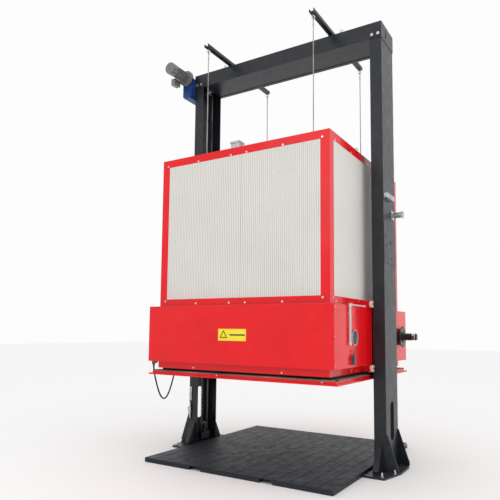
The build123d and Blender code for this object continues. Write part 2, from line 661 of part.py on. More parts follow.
def roof_vent():
    """Square flue on the roof with a rain lip, and four lifting eyes."""
    x0, x1, y0, y1 = -215, -95, -905, -795
    duct = block(x0 + 8, x1 - 8, y0 + 8, y1 - 8, BOX_TOP, BOX_TOP + 118)
    lip = block(x0, x1, y0, y1, BOX_TOP + 118, BOX_TOP + 139)
    hole = block(x0 + 12, x1 - 12, y0 + 12, y1 - 12, BOX_TOP + 20, BOX_TOP + 140)
    base = block(x0 - 14, x1 + 14, y0 - 14, y1 + 14, BOX_TOP - TRIM, BOX_TOP + 2)
    pieces = [one(duct + lip + base - hole)]
    for y in (-278, 278):
        stem = rod("z", (BOX_X - 30, y, BOX_TOP), 16, 8)
        eye = Pos(BOX_X - 30, y, BOX_TOP + 30) * Rot(90, 0, 0) * Torus(16, 5)
        pieces += both_sides(one(stem + eye))
    return pieces


def rope_bushes():
    """Flanged bush in the roof round each rope, top and bottom."""
    pieces = []
    roof = BOX_TOP - TRIM
    for x, y in rope_points():
        sleeve = ring("z", (x, y, roof - PANEL), PANEL + 10, ROPE_HOLE - SLIP, ROPE_RADIUS + 5)
        pieces.append(one(sleeve + ring("z", (x, y, roof), 6, ROPE_HOLE + 14, ROPE_RADIUS + 5)))
    return pieces


# ---- bell: hot-air ring -------------------------------------------------------
JACKET_LIP = 50
PORT_Y = -654
FAN_Y = 838
PORT_HEIGHT = 1354
PORT_RADIUS = 68
PORT_FLANGE = 80
DUCT_GAP = 62              # insulation between the jacket and the duct
DUCT_WALL = 3


def end_jackets():
    """Folded covers across the front and the rear of the ring."""
    sheets = []
    for side in (-1, 1):
        y = side * RING_Y
        sheet = block(-RING_X, RING_X, y, y - side * SHEET, RING_BOTTOM, RING_TOP)
        for z in (RING_BOTTOM, RING_TOP - SHEET):
            sheet = sheet + block(-RING_X, RING_X, y, y - side * JACKET_LIP, z, z + SHEET)
        sheets.append(one(sheet))
    return sheets


def side_jackets():
    """Covers on both sides, with a port hole near the front and a fan hole near the rear."""
    reach = RING_Y - SHEET
    lip_reach = RING_Y - JACKET_LIP
    sheet = block(RING_X - SHEET, RING_X, -reach, reach, RING_BOTTOM + SHEET, RING_TOP - SHEET)
    for z in (RING_BOTTOM, RING_TOP - SHEET):
        sheet = sheet + block(RING_X - JACKET_LIP, RING_X, -lip_reach, lip_reach, z, z + SHEET)
    for y in (PORT_Y, FAN_Y):
        sheet = sheet - rod("x", (RING_X - 10, y, PORT_HEIGHT), 20, PORT_RADIUS + 1)
    return both_sides(one(sheet))


def ring_insulation():
    """Mineral wool between the jacket and the duct, as four slabs."""
    z0 = RING_BOTTOM + SHEET
    z1 = RING_TOP - SHEET
    x_out = RING_X - SHEET
    y_out = RING_Y - SHEET
    x_in = RING_X - DUCT_GAP
    y_in = RING_Y - DUCT_GAP
    side = block(x_in, x_out, -y_out, y_out, z0, z1)
    for y in (PORT_Y, FAN_Y):
        side = side - rod("x", (x_in - 1, y, PORT_HEIGHT), DUCT_GAP + 2, PORT_RADIUS + 1)
    front = block(-x_in, x_in, -y_out, -y_in, z0, z1)
    return both_sides(one(side)) + [front, mirror(front, about=Plane.XZ)]


FAN_RADIUS = 150


def ring_duct():
    """Four hollow ducts round the mouth, with a row of slots that blow at the load."""
    pieces = []
    z0 = RING_BOTTOM
    z1 = BOX_BOTTOM
    x_out = RING_X - DUCT_GAP
    y_out = RING_Y - DUCT_GAP
    side = block(MOUTH_X, x_out, -y_out, y_out, z0, z1)
    side = side - block(MOUTH_X + DUCT_WALL, x_out - DUCT_WALL, -y_out + DUCT_WALL, y_out - DUCT_WALL,
                        z0 + DUCT_WALL, z1 - DUCT_WALL)
    front = block(-MOUTH_X, MOUTH_X, -y_out, -MOUTH_Y, z0, z1)
    front = front - block(-MOUTH_X + DUCT_WALL, MOUTH_X - DUCT_WALL, -y_out + DUCT_WALL, -MOUTH_Y - DUCT_WALL,
                          z0 + DUCT_WALL, z1 - DUCT_WALL)
    for index in range(10):
        y = -MOUTH_Y + 100 + index * (2 * MOUTH_Y - 200) / 9
        x = -MOUTH_X + 90 + index * (2 * MOUTH_X - 180) / 9
        side = side - block(MOUTH_X - 1, MOUTH_X + DUCT_WALL + 1, y - 40, y + 40, z0 + 40, z0 + 56)
        front = front - block(x - 40, x + 40, -MOUTH_Y - DUCT_WALL - 1, -MOUTH_Y + 1, z0 + 40, z0 + 56)
    side = side - rod("x", (x_out - 10, PORT_Y, PORT_HEIGHT), 20, PORT_RADIUS - 10)
    side = side - rod("x", (x_out - 10, FAN_Y, PORT_HEIGHT), 20, 26)
    pieces += both_sides(one(side))
    pieces += [one(front), mirror(one(front), about=Plane.XZ)]
    return pieces


def fan_wheel():
    """Radial fan inside the duct with its shaft through the insulation."""
    x_back = RING_X - DUCT_GAP - DUCT_WALL - 14
    hub = rod("x", (x_back - 96, FAN_Y, PORT_HEIGHT), 96, 30)
    plate = rod("x", (x_back - 6, FAN_Y, PORT_HEIGHT), 6, FAN_RADIUS)
    rim = ring("x", (x_back - 90, FAN_Y, PORT_HEIGHT), 6, FAN_RADIUS, FAN_RADIUS - 45)
    wheel = hub + plate + rim
    for index in range(12):
        blade = block(-90, 0, -2, 2, FAN_RADIUS - 50, FAN_RADIUS - 4)
        wheel = wheel + Pos(x_back, FAN_Y, PORT_HEIGHT) * Rot(30 * index, 0, 0) * blade
    shaft = rod("x", (x_back - 20, FAN_Y, PORT_HEIGHT), RING_X + 20 - x_back, FAN_SHAFT)
    return one(wheel + shaft)


FAN_SHAFT = 14
FAN_FLANGE = 124
FAN_DRUM = 44


def fan_motors():
    """Drum, round flange and motor outside each side cover."""
    drum = rod("x", (RING_X, FAN_Y, PORT_HEIGHT), FAN_DRUM, 100)
    flange = rod("x", (RING_X + FAN_DRUM, FAN_Y, PORT_HEIGHT), 8, FAN_FLANGE)
    for index in range(6):
        angle = math.radians(60 * index + 30)
        y = FAN_Y + 112 * math.cos(angle)
        z = PORT_HEIGHT + 112 * math.sin(angle)
        flange = flange + rod("x", (RING_X + FAN_DRUM + 8, y, z), 5, 7)
    seat = rod("x", (RING_X + FAN_DRUM + 8, FAN_Y, PORT_HEIGHT), 14, 56)
    body = rod("x", (RING_X + FAN_DRUM + 22, FAN_Y, PORT_HEIGHT), 104, 38)
    cap = rod("x", (RING_X + 166, FAN_Y, PORT_HEIGHT), 53, 42)
    cap = fillet(cap.edges().filter_by(GeomType.CIRCLE).sort_by(Axis.X)[-1], 20)
    motor = drum + flange + seat + body + cap
    blind = rod("x", (RING_X - 1, FAN_Y, PORT_HEIGHT), 24, FAN_SHAFT + RUNNING)
    return both_sides(one(motor - blind))


def burner_ports():
    """Air port of each burner: a flanged tube with a grille."""
    tube_start = RING_X - DUCT_GAP
    bore = PORT_RADIUS - 4
    tube = ring("x", (tube_start, PORT_Y, PORT_HEIGHT), DUCT_GAP + 10, PORT_RADIUS, bore)
    flange = ring("x", (RING_X, PORT_Y, PORT_HEIGHT), 10, PORT_FLANGE, bore)
    port = tube + flange
    for offset in (-40, -20, 0, 20, 40):
        half = math.sqrt((bore + 2) ** 2 - offset ** 2)
        z = PORT_HEIGHT + offset
        port = port + block(RING_X - 12, RING_X - 8, PORT_Y - half, PORT_Y + half, z - 4, z + 4)
    for index in range(6):
        angle = math.radians(60 * index)
        y = PORT_Y + 73 * math.cos(angle)
        z = PORT_HEIGHT + 73 * math.sin(angle)
        port = port + rod("x", (RING_X + 10, y, z), 5, 5)
    return both_sides(one(port))


PIPE_RADIUS = 12
BRANCH_RADIUS = 7
PIPE_Y = -798


def gas_pipes():
    """Gas feed: a pipe up the side cover and a thin branch back along its top edge."""
    x = RING_X + 15
    z0 = PORT_HEIGHT - 64
    z1 = RING_TOP + 4
    upright = rod("z", (x, PIPE_Y, z0), z1 - z0, PIPE_RADIUS)
    top = rod("z", (x, PIPE_Y, z1 - 24), 34, PIPE_RADIUS + 3)
    along = rod("y", (x - 6, PIPE_Y, z1), 430, BRANCH_RADIUS)
    nut = rod("y", (x - 6, PIPE_Y + 398, z1), 34, BRANCH_RADIUS + 3)
    elbow = rod("x", (RING_X, PIPE_Y, z0 + 12), 15, PIPE_RADIUS)
    foot = rod("z", (x, PIPE_Y, z0 - 8), 34, PIPE_RADIUS + 3)
    clip = block(RING_X, x, PIPE_Y - 9, PIPE_Y + 9, RING_TOP - 90, RING_TOP - 70)
    return both_sides(one(upright + top + along + nut + elbow + foot + clip))


# ---- power cable -------------------------------------------------------------
CABLE_RADIUS = 8.5
GLAND_RADIUS = 15
CABLE_SHAPE = [(-1072, -1078, 1036), (-1128, -1012, 960), (-1143, -938, 790), (-1158, -862, 670),
               (-1171, -795, 618), (-1185, -722, 622), (-1198, -655, 682), (-1212, -582, 800),
               (-1221, -520, 960), (-1228, -483, 1140), (-1230, -466, 1320), (-1230, -458, 1480)]
CABLE_RING = (1086, 1149, 1069)    # ring corner that the loop was drawn for
CABLE_COLUMN = 1247                # column web that the loop was drawn for


def cable_route():
    """The drawn loop, its start moved with the ring and its end with the column."""
    route = []
    for index, (x, y, z) in enumerate(CABLE_SHAPE):
        share = index / (len(CABLE_SHAPE) - 1)
        near = 1 - share
        route.append((x - share * (COLUMN_OUT - CABLE_COLUMN) - near * (RING_X - CABLE_RING[0]),
                      y - near * (RING_Y - CABLE_RING[1]), z + near * (RING_BOTTOM - CABLE_RING[2])))
    return route


CABLE_ROUTE = cable_route()


def cable_path():
    """Straight runs joined by arcs as large as their two runs allow."""
    points = [Vector(*p) for p in CABLE_ROUTE]
    radii = []
    for before, here, after in zip(points, points[1:], points[2:]):
        turn = (here - before).get_angle(after - here)
        run = min((here - before).length, (after - here).length)
        radii.append(0.45 * run / math.tan(math.radians(turn / 2)))
    print("cable radii", [round(r) for r in radii])
    return FilletPolyline(*CABLE_ROUTE, radius=radii)


def power_cable():
    path = cable_path()
    section = Plane(origin=path @ 0, z_dir=path % 0) * Circle(CABLE_RADIUS)
    tube = sweep(section, path=path)
    expected = math.pi * CABLE_RADIUS ** 2 * path.length
    print("cable length", round(path.length), "volume ratio", round(tube.volume / expected, 4))
    return one(tube)


def gland_at(end, toward, reach):
    """A cable gland that ends face to face with the cable's end."""
    tip = Vector(*end)
    back = (tip - Vector(*toward)).normalized()
    body = Plane(origin=tip, z_dir=back) * Pos(0, 0, reach / 2) * Cylinder(GLAND_RADIUS, reach)
    nut = Plane(origin=tip + back * 8, z_dir=back) * extrude(RegularPolygon(GLAND_RADIUS + 5, 6), amount=10)
    return body + nut


def control_boxes():
    """Ignition box under each burner port and the small box that the power cable enters."""
    box = block(RING_X, RING_X + 32, -735, -695, RING_BOTTOM + 27, RING_BOTTOM + 111)
    box = fillet(box.edges().filter_by(Axis.X), 6)
    stem = rod("z", (RING_X + 16, -708, RING_BOTTOM + 111), 60, 5)
    plug = rod("z", (RING_X + 16, -708, RING_BOTTOM + 104), 24, 9)
    ignition = one(box + stem + plug)
    entry = block(-RING_X + 4, -RING_X + 46, -RING_Y + 52, -RING_Y + 100, RING_BOTTOM - 24, RING_BOTTOM)
    gland = gland_at(CABLE_ROUTE[0], CABLE_ROUTE[1], 20)
    return both_sides(ignition) + [one(entry + gland)]


def cable_arm():
    """Flat arm on the left column that holds the fixed end of the power cable."""
    x = -COLUMN_OUT
    bar = block(x - 8, x, -500, -60, 1500, 1540)
    gland = gland_at(CABLE_ROUTE[-1], CABLE_ROUTE[-2], 40)
    tab = block(x, x + 40, -486, -430, 1506, 1518)
    return one(bar + tab + gland)


# ---- bell: base flange, bumper and carriages ---------------------------------
HANGER_RADIUS = 8
HANGER_HEAD = 6
BUMPER_FOOT = 16
BUMPER_INSET = 30          # foot edge to the upright face
BUMPER_TRAVEL = 16
SEAL_WIDE = 76
SKIRT = 5


def base_flange():
    """Four welded boxes under the ring."""
    side = block(MOUTH_X, BASE_X, -BASE_Y, BASE_Y, BASE_BOTTOM, RING_BOTTOM)
    front = block(-MOUTH_X, MOUTH_X, -BASE_Y, -MOUTH_Y, BASE_BOTTOM, RING_BOTTOM)
    wall = 4
    side = side - block(MOUTH_X + wall, BASE_X - wall, -BASE_Y + wall, BASE_Y - wall,
                        BASE_BOTTOM + wall, RING_BOTTOM - wall)
    front = front - block(-MOUTH_X + wall, MOUTH_X - wall, -BASE_Y + wall, -MOUTH_Y - wall,
                          BASE_BOTTOM + wall, RING_BOTTOM - wall)
    return both_sides(one(side)) + [one(front), mirror(one(front), about=Plane.XZ)]


def hanger_points():
    points = []
    for x in (-700, 0, 700):
        points += [(x, -BASE_Y + 80), (x, BASE_Y - 80)]
    for y in (-560, 560):
        points += [(-BASE_X + 60, y), (BASE_X - 60, y)]
    return points


def bumper_hangers():
    """Headed pins that the bumper frame hangs on and slides up."""
    pieces = []
    head_top = BUMPER_BOTTOM - SLIP
    for x, y in hanger_points():
        pin = rod("z", (x, y, head_top - HANGER_HEAD), BASE_BOTTOM - head_top + HANGER_HEAD, HANGER_RADIUS)
        head = rod("z", (x, y, head_top - HANGER_HEAD), HANGER_HEAD, HANGER_RADIUS + 6)
        pieces.append(one(pin + head))
    return pieces


def bumper_frame():
    """Floating angle frame that feels an obstacle under the bell."""
    x_out = BUMPER_WIDTH / 2
    y_out = BUMPER_LENGTH / 2
    top = BASE_BOTTOM - BUMPER_GAP - 12
    foot_in = 180
    side = block(x_out - foot_in, x_out, -y_out, y_out, BUMPER_BOTTOM, BUMPER_BOTTOM + BUMPER_FOOT)
    side = side + block(x_out - BUMPER_INSET - 6, x_out - BUMPER_INSET, -y_out + BUMPER_INSET,
                        y_out - BUMPER_INSET, BUMPER_BOTTOM, top)
    front = block(-x_out + foot_in, x_out - foot_in, -y_out, -y_out + foot_in,
                  BUMPER_BOTTOM, BUMPER_BOTTOM + BUMPER_FOOT)
    front = front + block(-x_out + BUMPER_INSET + 6, x_out - BUMPER_INSET - 6, -y_out + BUMPER_INSET,
                          -y_out + BUMPER_INSET + 6, BUMPER_BOTTOM, top)
    frame = side + mirrored(side) + front + mirror(front, about=Plane.XZ)
    for x, y in hanger_points():
        frame = frame - rod("z", (x, y, BUMPER_BOTTOM - 1), BUMPER_FOOT + 2, HANGER_RADIUS + 1)
    return one(frame)


def bumper_seal():
    """Woven heat-proof strip on top of the frame."""
    x_out = BUMPER_WIDTH / 2 - BUMPER_INSET
    y_out = BUMPER_LENGTH / 2 - BUMPER_INSET
    z0 = BASE_BOTTOM - BUMPER_GAP - 12
    z1 = BASE_BOTTOM - BUMPER_GAP
    wide = SEAL_WIDE
    side = block(x_out - wide, x_out, -y_out, y_out, z0, z1)
    front = block(-x_out + wide, x_out - wide, -y_out, -y_out + wide, z0, z1)
    return [side, mirrored(side), front, mirror(front, about=Plane.XZ)]


def dust_skirt():
    """Rubber curtain under the base flange that closes the gap behind the seal strip."""
    x = BUMPER_WIDTH / 2 - BUMPER_INSET - SEAL_WIDE - 2
    y = BUMPER_LENGTH / 2 - BUMPER_INSET - SEAL_WIDE - 2
    z0 = BUMPER_BOTTOM + BUMPER_FOOT + BUMPER_TRAVEL + 1
    curtain = block(-x, x, -y, y, z0, BASE_BOTTOM)
    return one(curtain - block(-x + SKIRT, x - SKIRT, -y + SKIRT, y - SKIRT, z0 - 1, BASE_BOTTOM + 1))


PLATE_X = RING_X + 4
PLATE = 12
ROLLER_Y = HALF_DEPTH + ROLL_GAP + ROLLER_RADIUS
ROLLER_HEIGHTS = (("lower", 1037), ("upper", 1693))
ROLLER_WIDE = 26
ROLLER_X = COLUMN_IN - 12
AXLE_RADIUS = 10
LUG_HEIGHT = LATCH_HEIGHT - LIFT_UP


def carriages():
    """Steel plate between the bell and each column, with brackets, roller axles and a lock lug."""
    x0 = PLATE_X
    x1 = PLATE_X + PLATE
    plate = block(x0, x1, -190, 190, 1005, 1735)
    plate = fillet(plate.edges().filter_by(Axis.X), 20)
    for side in (-1, 1):
        upper = block(BOX_X, x0, side * 215, side * 262, 1672, 1730)
        lower = block(BASE_X, x0, side * 215, side * 262, 1008, 1062)
        plate = plate + upper + lower
        for _, z in ROLLER_HEIGHTS:
            y = side * ROLLER_Y
            plate = plate + block(x0, x1, side * 180, side * 264, z - 40, z + 40)
            plate = plate + rod("x", (x1, y, z), ROLLER_X - 0.5 - x1, 18)
            plate = plate + rod("x", (x1, y, z), ROLLER_X + ROLLER_WIDE + 7 - x1, AXLE_RADIUS)
            plate = plate + rod("x", (ROLLER_X + ROLLER_WIDE + 1, y, z), 6, 15)
    lug = block(x1, COLUMN_IN + 75, LATCH_Y - 20, LATCH_Y + 18, LUG_HEIGHT - 28, LUG_HEIGHT + 28)
    plate = plate + lug
    plate = plate - rod("x", (COLUMN_IN + 5, LATCH_Y, LUG_HEIGHT), 80, LATCH_PIN_RADIUS + 1)
    return both_sides(one(plate))


def chain_clamps():
    """Block that grips the front run of each chain and carries the bell."""
    x0 = PLATE_X + PLATE
    jaw = block(x0, CHAIN_X + 26, -CHAIN_RADIUS - 28, -CHAIN_RADIUS + 26, 1340, 1430)
    slot = block(CHAIN_X - CHAIN_WIDE / 2 - 1.5, CHAIN_X + CHAIN_WIDE / 2 + 1.5,
                 -CHAIN_RADIUS - CHAIN_HALF - 1.5, -CHAIN_RADIUS + CHAIN_HALF + 1.5, 1330, 1440)
    jaw = jaw - slot
    for z in (1362, 1408):
        jaw = jaw + rod("x", (CHAIN_X + 26, -CHAIN_RADIUS, z), 8, 11)
    return both_sides(one(jaw))


def roller(y_side, height):
    """Nylon guide roller with a recessed face, on its axle beside the column flange."""
    y = y_side * ROLLER_Y
    wheel = ring("x", (ROLLER_X, y, height), ROLLER_WIDE, ROLLER_RADIUS, AXLE_RADIUS + RUNNING)
    recess = ring("x", (ROLLER_X + ROLLER_WIDE - 4, y, height), 5, ROLLER_RADIUS - 7, 17)
    return one(wheel - recess)


def latch_pin():
    """Locking pin, drawn back clear of the lug."""
    start = COLUMN_IN + 80
    return rod("x", (start, LATCH_Y, LATCH_HEIGHT), COLUMN_OUT + LATCH_GUIDE + 28 - start, LATCH_PIN_RADIUS)


# ---- write every node ---------------------------------------------------------
NODES = {
    "deck_frame": deck_frame(), "deck_planks": deck_planks(),
    "left_column": column(True), "right_column": column(False),
    "column_feet": both_sides(foot()), "gantry_bolts": gantry_bolts(),
    "crossbeam": crossbeam(), "rope_arms": rope_arms(), "rope_fittings": rope_fittings(),
    "suspension_ropes": suspension_ropes(), "inner_ceiling": inner_ceiling(),
    "gear_housing": gear_housing(), "motor_body": motor_body(), "motor_covers": motor_covers(),
    "shaft_bearings": shaft_bearings(), "lift_chains": lift_chains(), "idler_brackets": idler_brackets(),
    "latch_units": latch_units(), "access_covers": access_covers(),
    "limit_switch_rail": limit_switch_rail(), "cable_arm": cable_arm(), "power_cable": power_cable(),
    "drive_shaft": drive_shaft(),
    "end_panels": end_panels(-1) + end_panels(1), "side_panels": side_panels(),
    "roof_panels": roof_panels(), "corner_posts": corner_posts(), "edge_trims": edge_trims(),
    "trim_screws": trim_screws(), "roof_vent": roof_vent(), "rope_bushes": rope_bushes(),
    "end_jackets": end_jackets(), "side_jackets": side_jackets(),
    "ring_insulation": ring_insulation(), "ring_duct": ring_duct(), "base_flange": base_flange(),
    "burner_ports": burner_ports(), "fan_motors": fan_motors(), "gas_pipes": gas_pipes(),
    "control_boxes": control_boxes(), "bumper_hangers": bumper_hangers(),
    "carriages": carriages(), "chain_clamps": chain_clamps(),
    "bumper_frame": bumper_frame(), "bumper_seal": bumper_seal(), "dust_skirt": dust_skirt(),
}

IDLER = chain_wheel(IDLER_HEIGHT, IDLER_PIN_RADIUS + RUNNING, 26)
FAN = fan_wheel()
PIN = latch_pin()
for side_name, side_sign in SIDES:
    turn = mirrored if side_sign < 0 else (lambda shape: shape)
    NODES[f"idler_{side_name}"] = turn(IDLER)
    NODES[f"fan_{side_name}"] = turn(FAN)
    NODES[f"latch_pin_{side_name}"] = turn(PIN)
    for level, roller_height in ROLLER_HEIGHTS:
        for end_name, y_side in (("front", -1), ("rear", 1)):
            NODES[f"roller_{side_name}_{level}_{end_name}"] = turn(roller(y_side, roller_height))

for node_name, node_pieces in NODES.items():
    save(node_name, node_pieces)
print(len(NODES), "nodes")
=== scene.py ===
import math
import bpy
import numpy as np
from mathutils import Matrix, Vector
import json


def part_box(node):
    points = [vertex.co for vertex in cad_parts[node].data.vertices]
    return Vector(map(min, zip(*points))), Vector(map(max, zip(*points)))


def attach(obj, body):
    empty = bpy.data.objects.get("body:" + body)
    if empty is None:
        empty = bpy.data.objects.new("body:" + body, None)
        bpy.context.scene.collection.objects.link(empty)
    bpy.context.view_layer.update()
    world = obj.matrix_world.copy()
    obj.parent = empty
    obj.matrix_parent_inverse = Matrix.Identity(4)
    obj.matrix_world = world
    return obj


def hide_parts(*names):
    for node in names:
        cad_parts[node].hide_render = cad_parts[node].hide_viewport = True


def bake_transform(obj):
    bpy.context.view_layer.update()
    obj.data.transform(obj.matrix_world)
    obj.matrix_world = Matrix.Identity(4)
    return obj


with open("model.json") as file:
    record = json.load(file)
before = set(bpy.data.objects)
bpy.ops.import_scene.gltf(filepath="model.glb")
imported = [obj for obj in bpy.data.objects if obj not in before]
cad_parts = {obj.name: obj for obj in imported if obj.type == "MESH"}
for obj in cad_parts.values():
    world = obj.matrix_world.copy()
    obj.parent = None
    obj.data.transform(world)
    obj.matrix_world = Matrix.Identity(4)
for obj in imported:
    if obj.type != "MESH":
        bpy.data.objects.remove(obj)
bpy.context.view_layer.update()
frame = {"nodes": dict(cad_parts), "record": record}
NODES = frame["nodes"]

# ---- places taken from the frame ----------------------------------------------
CASING_LOW, CASING_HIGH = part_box("edge_trims")
JACKET_LOW, JACKET_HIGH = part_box("end_jackets")
DECK_LOW, DECK_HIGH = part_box("deck_planks")
CHAIN_LOW, CHAIN_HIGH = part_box("lift_chains")
SEAL_LOW, SEAL_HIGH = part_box("bumper_seal")
ROPE_LOW, ROPE_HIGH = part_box("suspension_ropes")


# ---- mesh helpers ----------------------------------------------------------------
SMOOTH_LIMIT = math.radians(35)     # edges that turn more than this stay sharp
NEARLY_UPRIGHT = 0.9                # above this an axis needs another helper direction
HEAD_RIM = 0.12                     # share of a head's height that is turned down
HEAD_CROWN = 0.9                    # radius of the turned face over the full radius
WASHER_SHARE = 0.25                 # share of a screw's height taken by its washer
DOME_SHARE = 0.78                   # radius of a screw's dome over its washer's
UP = (0, 0, 1)


def grid_faces(rows, columns, close_columns=False):
    """Quads of a rows by columns grid whose points are numbered row by row."""
    r = np.arange(rows - 1)
    c = np.arange(columns if close_columns else columns - 1)
    r, c = np.meshgrid(r, c, indexing="ij")
    c_next = (c + 1) % columns
    corners = [r * columns + c, r * columns + c_next,
               (r + 1) * columns + c_next, (r + 1) * columns + c]
    return np.stack(corners, -1).reshape(-1, 4)


class Mesh:
    """Collects surfaces, each an array of points with its quads, into one piece."""

    def __init__(self):
        self.points = []
        self.faces = []
        self.count = 0

    def add(self, points, faces):
        points = np.asarray(points, float).reshape(-1, 3)
        self.points.append(points)
        for face_set in (faces if isinstance(faces, tuple) else (faces,)):
            self.faces.extend((np.asarray(face_set) + self.count).tolist())
        self.count += len(points)
        return self

    def piece(self, name, body, slot, material, smooth=True, replaces=()):
        """Make the object, give it its finish, and let it ride on its body."""
        mesh = bpy.data.meshes.new(name)
        mesh.from_pydata(np.concatenate(self.points).tolist(), [], self.faces)
        mesh.validate()
        mesh.polygons.foreach_set("use_smooth", [smooth] * len(mesh.polygons))
        obj = bpy.data.objects.new(name, mesh)
        bpy.context.scene.collection.objects.link(obj)
        obj.data.materials.append(material)
        if smooth:
            obj.data.set_sharp_from_angle(angle=SMOOTH_LIMIT)
        if replaces:
            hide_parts(*replaces)
        if body:
            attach(obj, body)
        return obj


BOX_FACES = [[0, 3, 2, 1], [4, 5, 6, 7], [0, 1, 5, 4], [1, 2, 6, 5], [2, 3, 7, 6], [3, 0, 4, 7]]


def box_surface(low, high):
    """Six faces between two corners."""
    x0, y0, z0 = low
    x1, y1, z1 = high
    points = [(x0, y0, z0), (x1, y0, z0), (x1, y1, z0), (x0, y1, z0),
              (x0, y0, z1), (x1, y0, z1), (x1, y1, z1), (x0, y1, z1)]
    return np.array(points), np.array(BOX_FACES)


def axis_frame(axis):
    """Two unit vectors across an axis, and the axis, as rows."""
    w = np.array(axis, float)
    w /= np.linalg.norm(w)
    helper = np.array([0, 0, 1.0]) if abs(w[2]) < NEARLY_UPRIGHT else np.array([0, 1.0, 0])
    u = np.cross(helper, w)
    u /= np.linalg.norm(u)
    return np.stack([u, np.cross(w, u), w])


def turned(profile, centre, axis, steps=32):
    """Surface of revolution: each profile pair is (distance along the axis, radius)."""
    profile = np.asarray(profile, float)
    u, v, w = axis_frame(axis)
    angle = np.linspace(0, 2 * math.pi, steps, endpoint=False)
    spoke = np.cos(angle)[:, None] * u + np.sin(angle)[:, None] * v
    points = np.asarray(centre) + profile[:, None, 0:1] * w + profile[:, None, 1:2] * spoke[None]
    return points.reshape(-1, 3), grid_faces(len(profile), steps, close_columns=True)


def tube(path, radius, steps=12, capped=False, lobes=0, lobe_depth=0.0, turns=0.0):
    """A round or lobed section carried along a path, turning evenly by the given turns."""
    path = np.asarray(path, float)
    tangent = np.gradient(path, axis=0)
    tangent /= np.linalg.norm(tangent, axis=1)[:, None]
    across = np.zeros_like(path)
    across[0] = axis_frame(tangent[0])[0]
    for index in range(1, len(path)):
        side = across[index - 1] - tangent[index] * (across[index - 1] @ tangent[index])
        across[index] = side / np.linalg.norm(side)
    other = np.cross(tangent, across)
    angle = np.linspace(0, 2 * math.pi, steps, endpoint=False)[None, :]
    twist = np.linspace(0, 2 * math.pi * turns, len(path))[:, None]
    reach = np.broadcast_to(np.asarray(radius, float).reshape(-1, 1), (len(path), 1))
    reach = reach * (1 - lobe_depth * (0.5 - 0.5 * np.cos(lobes * angle)))
    turn = angle + twist
    points = path[:, None] + reach[..., None] * (np.cos(turn)[..., None] * across[:, None]
                                                + np.sin(turn)[..., None] * other[:, None])
    faces = grid_faces(len(path), steps, close_columns=True)[:, ::-1]
    if not capped:
        return points.reshape(-1, 3), faces
    last = (len(path) - 1) * steps
    caps = [list(range(steps))[::-1], list(range(last, last + steps))]
    return points.reshape(-1, 3), (faces, np.array(caps)[:, ::-1])


def hexagon(seat, axis, across_flats, height):
    """Six-sided head with a turned-down rim, standing on its seat."""
    flat = across_flats / 2 / math.cos(math.pi / 6)
    rim = HEAD_RIM * height
    profile = [(0, 0), (0, flat), (height - rim, flat), (height, flat * HEAD_CROWN), (height, 0)]
    return turned(profile, seat, axis, 6)


def domed_screw(seat, axis, radius, height):
    """Low dome on a thin washer; its height falls off as one minus the square of the radius."""
    share = np.linspace(0, 1, 5)
    dome = [(height * (WASHER_SHARE + (1 - WASHER_SHARE) * (1 - s * s)), radius * DOME_SHARE * s)
            for s in share[::-1]]
    return turned([(0, radius), (height * WASHER_SHARE, radius)] + dome, seat, axis, 14)


# ---- material helpers ------------------------------------------------------------
def nodes_of(tree):
    """Short makers for nodes, links, range maps and sums in a node tree."""
    def make(kind, **values):
        node = tree.nodes.new(kind)
        for key, value in values.items():
            if hasattr(node, key):
                setattr(node, key, value)
            else:
                node.inputs[key].default_value = value
        return node

    def link(source, target):
        tree.links.new(source, target)

    def span(value, low, high, to_low=0.0, to_high=1.0):
        node = make("ShaderNodeMapRange")
        link(value, node.inputs["Value"])
        for key, number in (("From Min", low), ("From Max", high),
                            ("To Min", to_low), ("To Max", to_high)):
            node.inputs[key].default_value = number
        return node.outputs["Result"]

    def maths(kind, a, b):
        node = make("ShaderNodeMath", operation=kind)
        for socket, value in zip(node.inputs, (a, b)):
            if isinstance(value, (int, float)):
                socket.default_value = value
            else:
                link(value, socket)
        return node.outputs[0]

    return make, link, span, maths


def group(name, inputs, outputs):
    """An empty node group with named sockets."""
    tree = bpy.data.node_groups.new(name, "ShaderNodeTree")
    for label, kind, value in inputs:
        socket = tree.interface.new_socket(label, in_out="INPUT", socket_type=kind)
        if value is not None:
            socket.default_value = value
    for label, kind in outputs:
        tree.interface.new_socket(label, in_out="OUTPUT", socket_type=kind)
    return tree, tree.nodes.new("NodeGroupInput"), tree.nodes.new("NodeGroupOutput")


SCRATCH_SHARE = 0.35       # how much of the wear the scratches show
DUST_ON_TOP = 0.8          # dust that only upward faces catch
DUST_ON_SIDES = 0.2        # dust that every face catches
DUST_DULLS = 0.4           # roughness that full dust adds
DIRT_DULLS = 0.35          # roughness that full dirt adds to metal
PEEL_DISTANCE = 0.0006     # height of the orange peel
GRAIN_DISTANCE = 0.0004    # height of a metal's grain
GRAIN_STRENGTH = 0.1
PAINT_EDGE = 0.004         # reach of the rubbed edges
METAL_EDGE = 0.002
FLOAT = "NodeSocketFloat"
COLOUR = "NodeSocketColor"
VECTOR = "NodeSocketVector"


